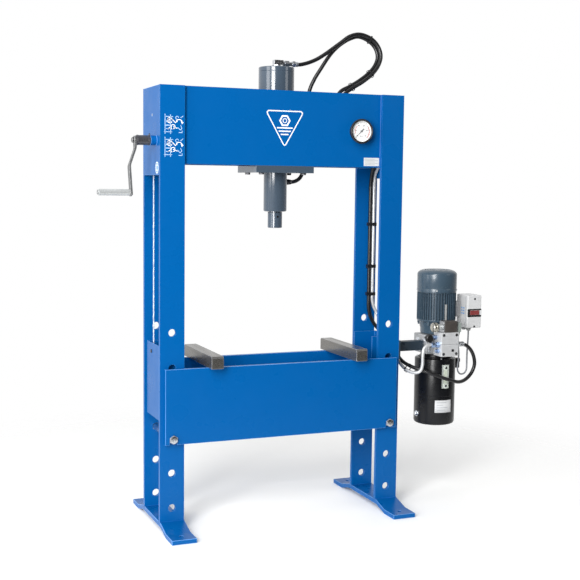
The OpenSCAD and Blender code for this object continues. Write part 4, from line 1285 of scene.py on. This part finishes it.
def coil():
    cx0, cx1, cz0, cz1 = 735, 804, VALVE_TOP, VALVE_TOP + 50
    bm = bmesh.new()
    add_box(bm, (cx0 + 4, VALVE_FRONT, cz0), (cx1 - 4, -99, cz1))
    stand_in("coil_body", bm, COIL, "solenoid", bevel=2.5, segments=3)
    bm = bmesh.new()
    for x in (cx0, cx1 - 5):
        add_box(bm, (x, VALVE_FRONT + 1, cz0 + 0.5), (x + 5, -100, cz1 - 1))
    piece("coil_frame", bm, STEEL, bevel=1)
    coil_y, coil_z = -120, 769
    nut = Vector((711, coil_y, coil_z))
    bm = bmesh.new()
    add_lathe(bm, nut, -X, [(0, 0), (19, 0), (20, 1), (20, 8), (18.6, 9), (18.6, 13), (20, 14), (20, 20),
        (17.5, 22.6), (9, 23), (0, 23)], 64)
    for k in range(36):
        turn = 2 * math.pi * k / 36
        rib = nut + 19.9 * Vector((0, math.cos(turn), math.sin(turn)))
        add_rod(bm, rib - X * 1.4, rib - X * 7.6, 0.95, 6, 0.2)
        add_rod(bm, rib - X * 14.4, rib - X * 19.6, 0.95, 6, 0.2)
    piece("coil_nut", bm, BRASS)
    bm = bmesh.new()
    add_rod(bm, (710, coil_y, coil_z), (736, coil_y, coil_z), 11.8, 48, 1)
    add_ring(bm, (722, coil_y, coil_z), X, 11, 13.4, 0, 4, 48, 0.8)
    piece("coil_tube", bm, SLEEVE)
    bm = bmesh.new()
    add_box(bm, (cx1 - 1, coil_y - 12, cz0), (826, coil_y + 12, 786))
    add_lathe(bm, (CABLE_VALVE[-1][0], coil_y, 747), -Z, [(0, 0), (10, 0), (10, 6), (8.5, 8), (8.5, 13),
        (6.5, 18), (3.7, 19), (0, 19)], 40)
    piece("coil_plug", bm, GREEN_GREY, bevel=2, segments=3)


def relief_knob():
    front, back = span("relief_knob")[0].y, span("relief_knob")[1].y
    c = middle("relief_knob")
    length = back - front
    bm = bmesh.new()
    add_lathe(bm, (c.x, back, c.z), -Y, [(0, 0), (6.8, 0), (6.8, 20), (15, 21), (16.6, 23),
        (16.6, length - 2.6), (14.5, length - 0.6), (6, length), (0, length)], 64)
    for k in range(16):
        turn = 2 * math.pi * k / 16
        rib = Vector((c.x + 16.1 * math.cos(turn), 0, c.z + 16.1 * math.sin(turn)))
        add_rod(bm, rib + Y * (front + 4), rib + Y * (front + 18.5), 1.7, 10, 0.6)
    stand_in("relief_knob_body", bm, PLASTIC, "relief_knob")


tank()
tank_label()
level_gauge()
filler_cap()
pump_block()
motor()
fan_cowl()
control_box()
valve()
coil()
relief_knob()


# ---- studio ----

def fading_floor():
    """A pale disc whose rim melts into the white background."""
    bm = bmesh.new()
    bmesh.ops.create_circle(bm, cap_ends=True, segments=96, radius=6.0)
    bm.transform(Matrix.Translation((0, 0, -0.0004)))
    mesh = bpy.data.meshes.new("floor")
    bm.to_mesh(mesh)
    bm.free()
    floor = bpy.data.objects.new("floor", mesh)
    bpy.context.scene.collection.objects.link(floor)
    mat, tree, shader = node_tree("floor")
    colour = blend_colours(tree, noise(tree, 1.5), (0.95, 0.95, 0.94), (0.97, 0.97, 0.96))
    tree.links.new(colour, shader.inputs["Base Color"])
    shader.inputs["Roughness"].default_value = 0.8
    shader.inputs["Specular IOR Level"].default_value = 0.05
    coord = tree.nodes.new("ShaderNodeTexCoord")
    reach = tree.nodes.new("ShaderNodeVectorMath")
    reach.operation = "LENGTH"
    tree.links.new(coord.outputs["Object"], reach.inputs[0])
    tree.links.new(remap(tree, reach.outputs["Value"], 1.0, 0.0, 0.9, 2.3), shader.inputs["Alpha"])
    mesh.materials.append(mat)


def studio():
    fading_floor()
    world = bpy.data.worlds.new("studio")
    bpy.context.scene.world = world
    world.use_nodes = True
    tree = world.node_tree
    back = tree.nodes["Background"]
    coord = tree.nodes.new("ShaderNodeTexCoord")
    toward = tree.nodes.new("ShaderNodeVectorMath")
    toward.operation = "DOT_PRODUCT"
    toward.inputs[1].default_value = Vector((0.38, -0.92, 0.1)).normalized()
    tree.links.new(coord.outputs["Generated"], toward.inputs[0])
    glow = remap(tree, toward.outputs["Value"], 0.95, 0.03, -0.1, 0.85)
    ray = tree.nodes.new("ShaderNodeLightPath")
    strength = tree.nodes.new("ShaderNodeMix")
    tree.links.new(ray.outputs["Is Camera Ray"], strength.inputs[0])
    tree.links.new(glow, strength.inputs[2])
    strength.inputs[3].default_value = 1.0
    tree.links.new(strength.outputs[0], back.inputs["Strength"])
    back.inputs["Color"].default_value = (1, 1, 1, 1)

    def area(name, place, target, size, power):
        data = bpy.data.lights.new(name, "AREA")
        data.shape = "RECTANGLE"
        data.size, data.size_y = size
        data.energy = power
        light = bpy.data.objects.new(name, data)
        light.location = place
        light.rotation_euler = (Vector(target) - Vector(place)).to_track_quat("-Z", "Y").to_euler()
        bpy.context.scene.collection.objects.link(light)

    area("key", (-2.3, -3.5, 4.3), (0, 0, 1.5), (2.0, 2.0), 115)
    area("softbox", (-3.4, -3.9, 2.15), (0, 0, 1.6), (1.9, 2.8), 280)
    area("left", (-5.4, -1.4, 1.8), (0, 0, 0.9), (2.2, 2.6), 80)
    area("fill", (3.6, -3.2, 2.6), (0.5, 0, 0.7), (1.6, 1.6), 18)
    bpy.context.scene.view_settings.view_transform = "Standard"


studio()
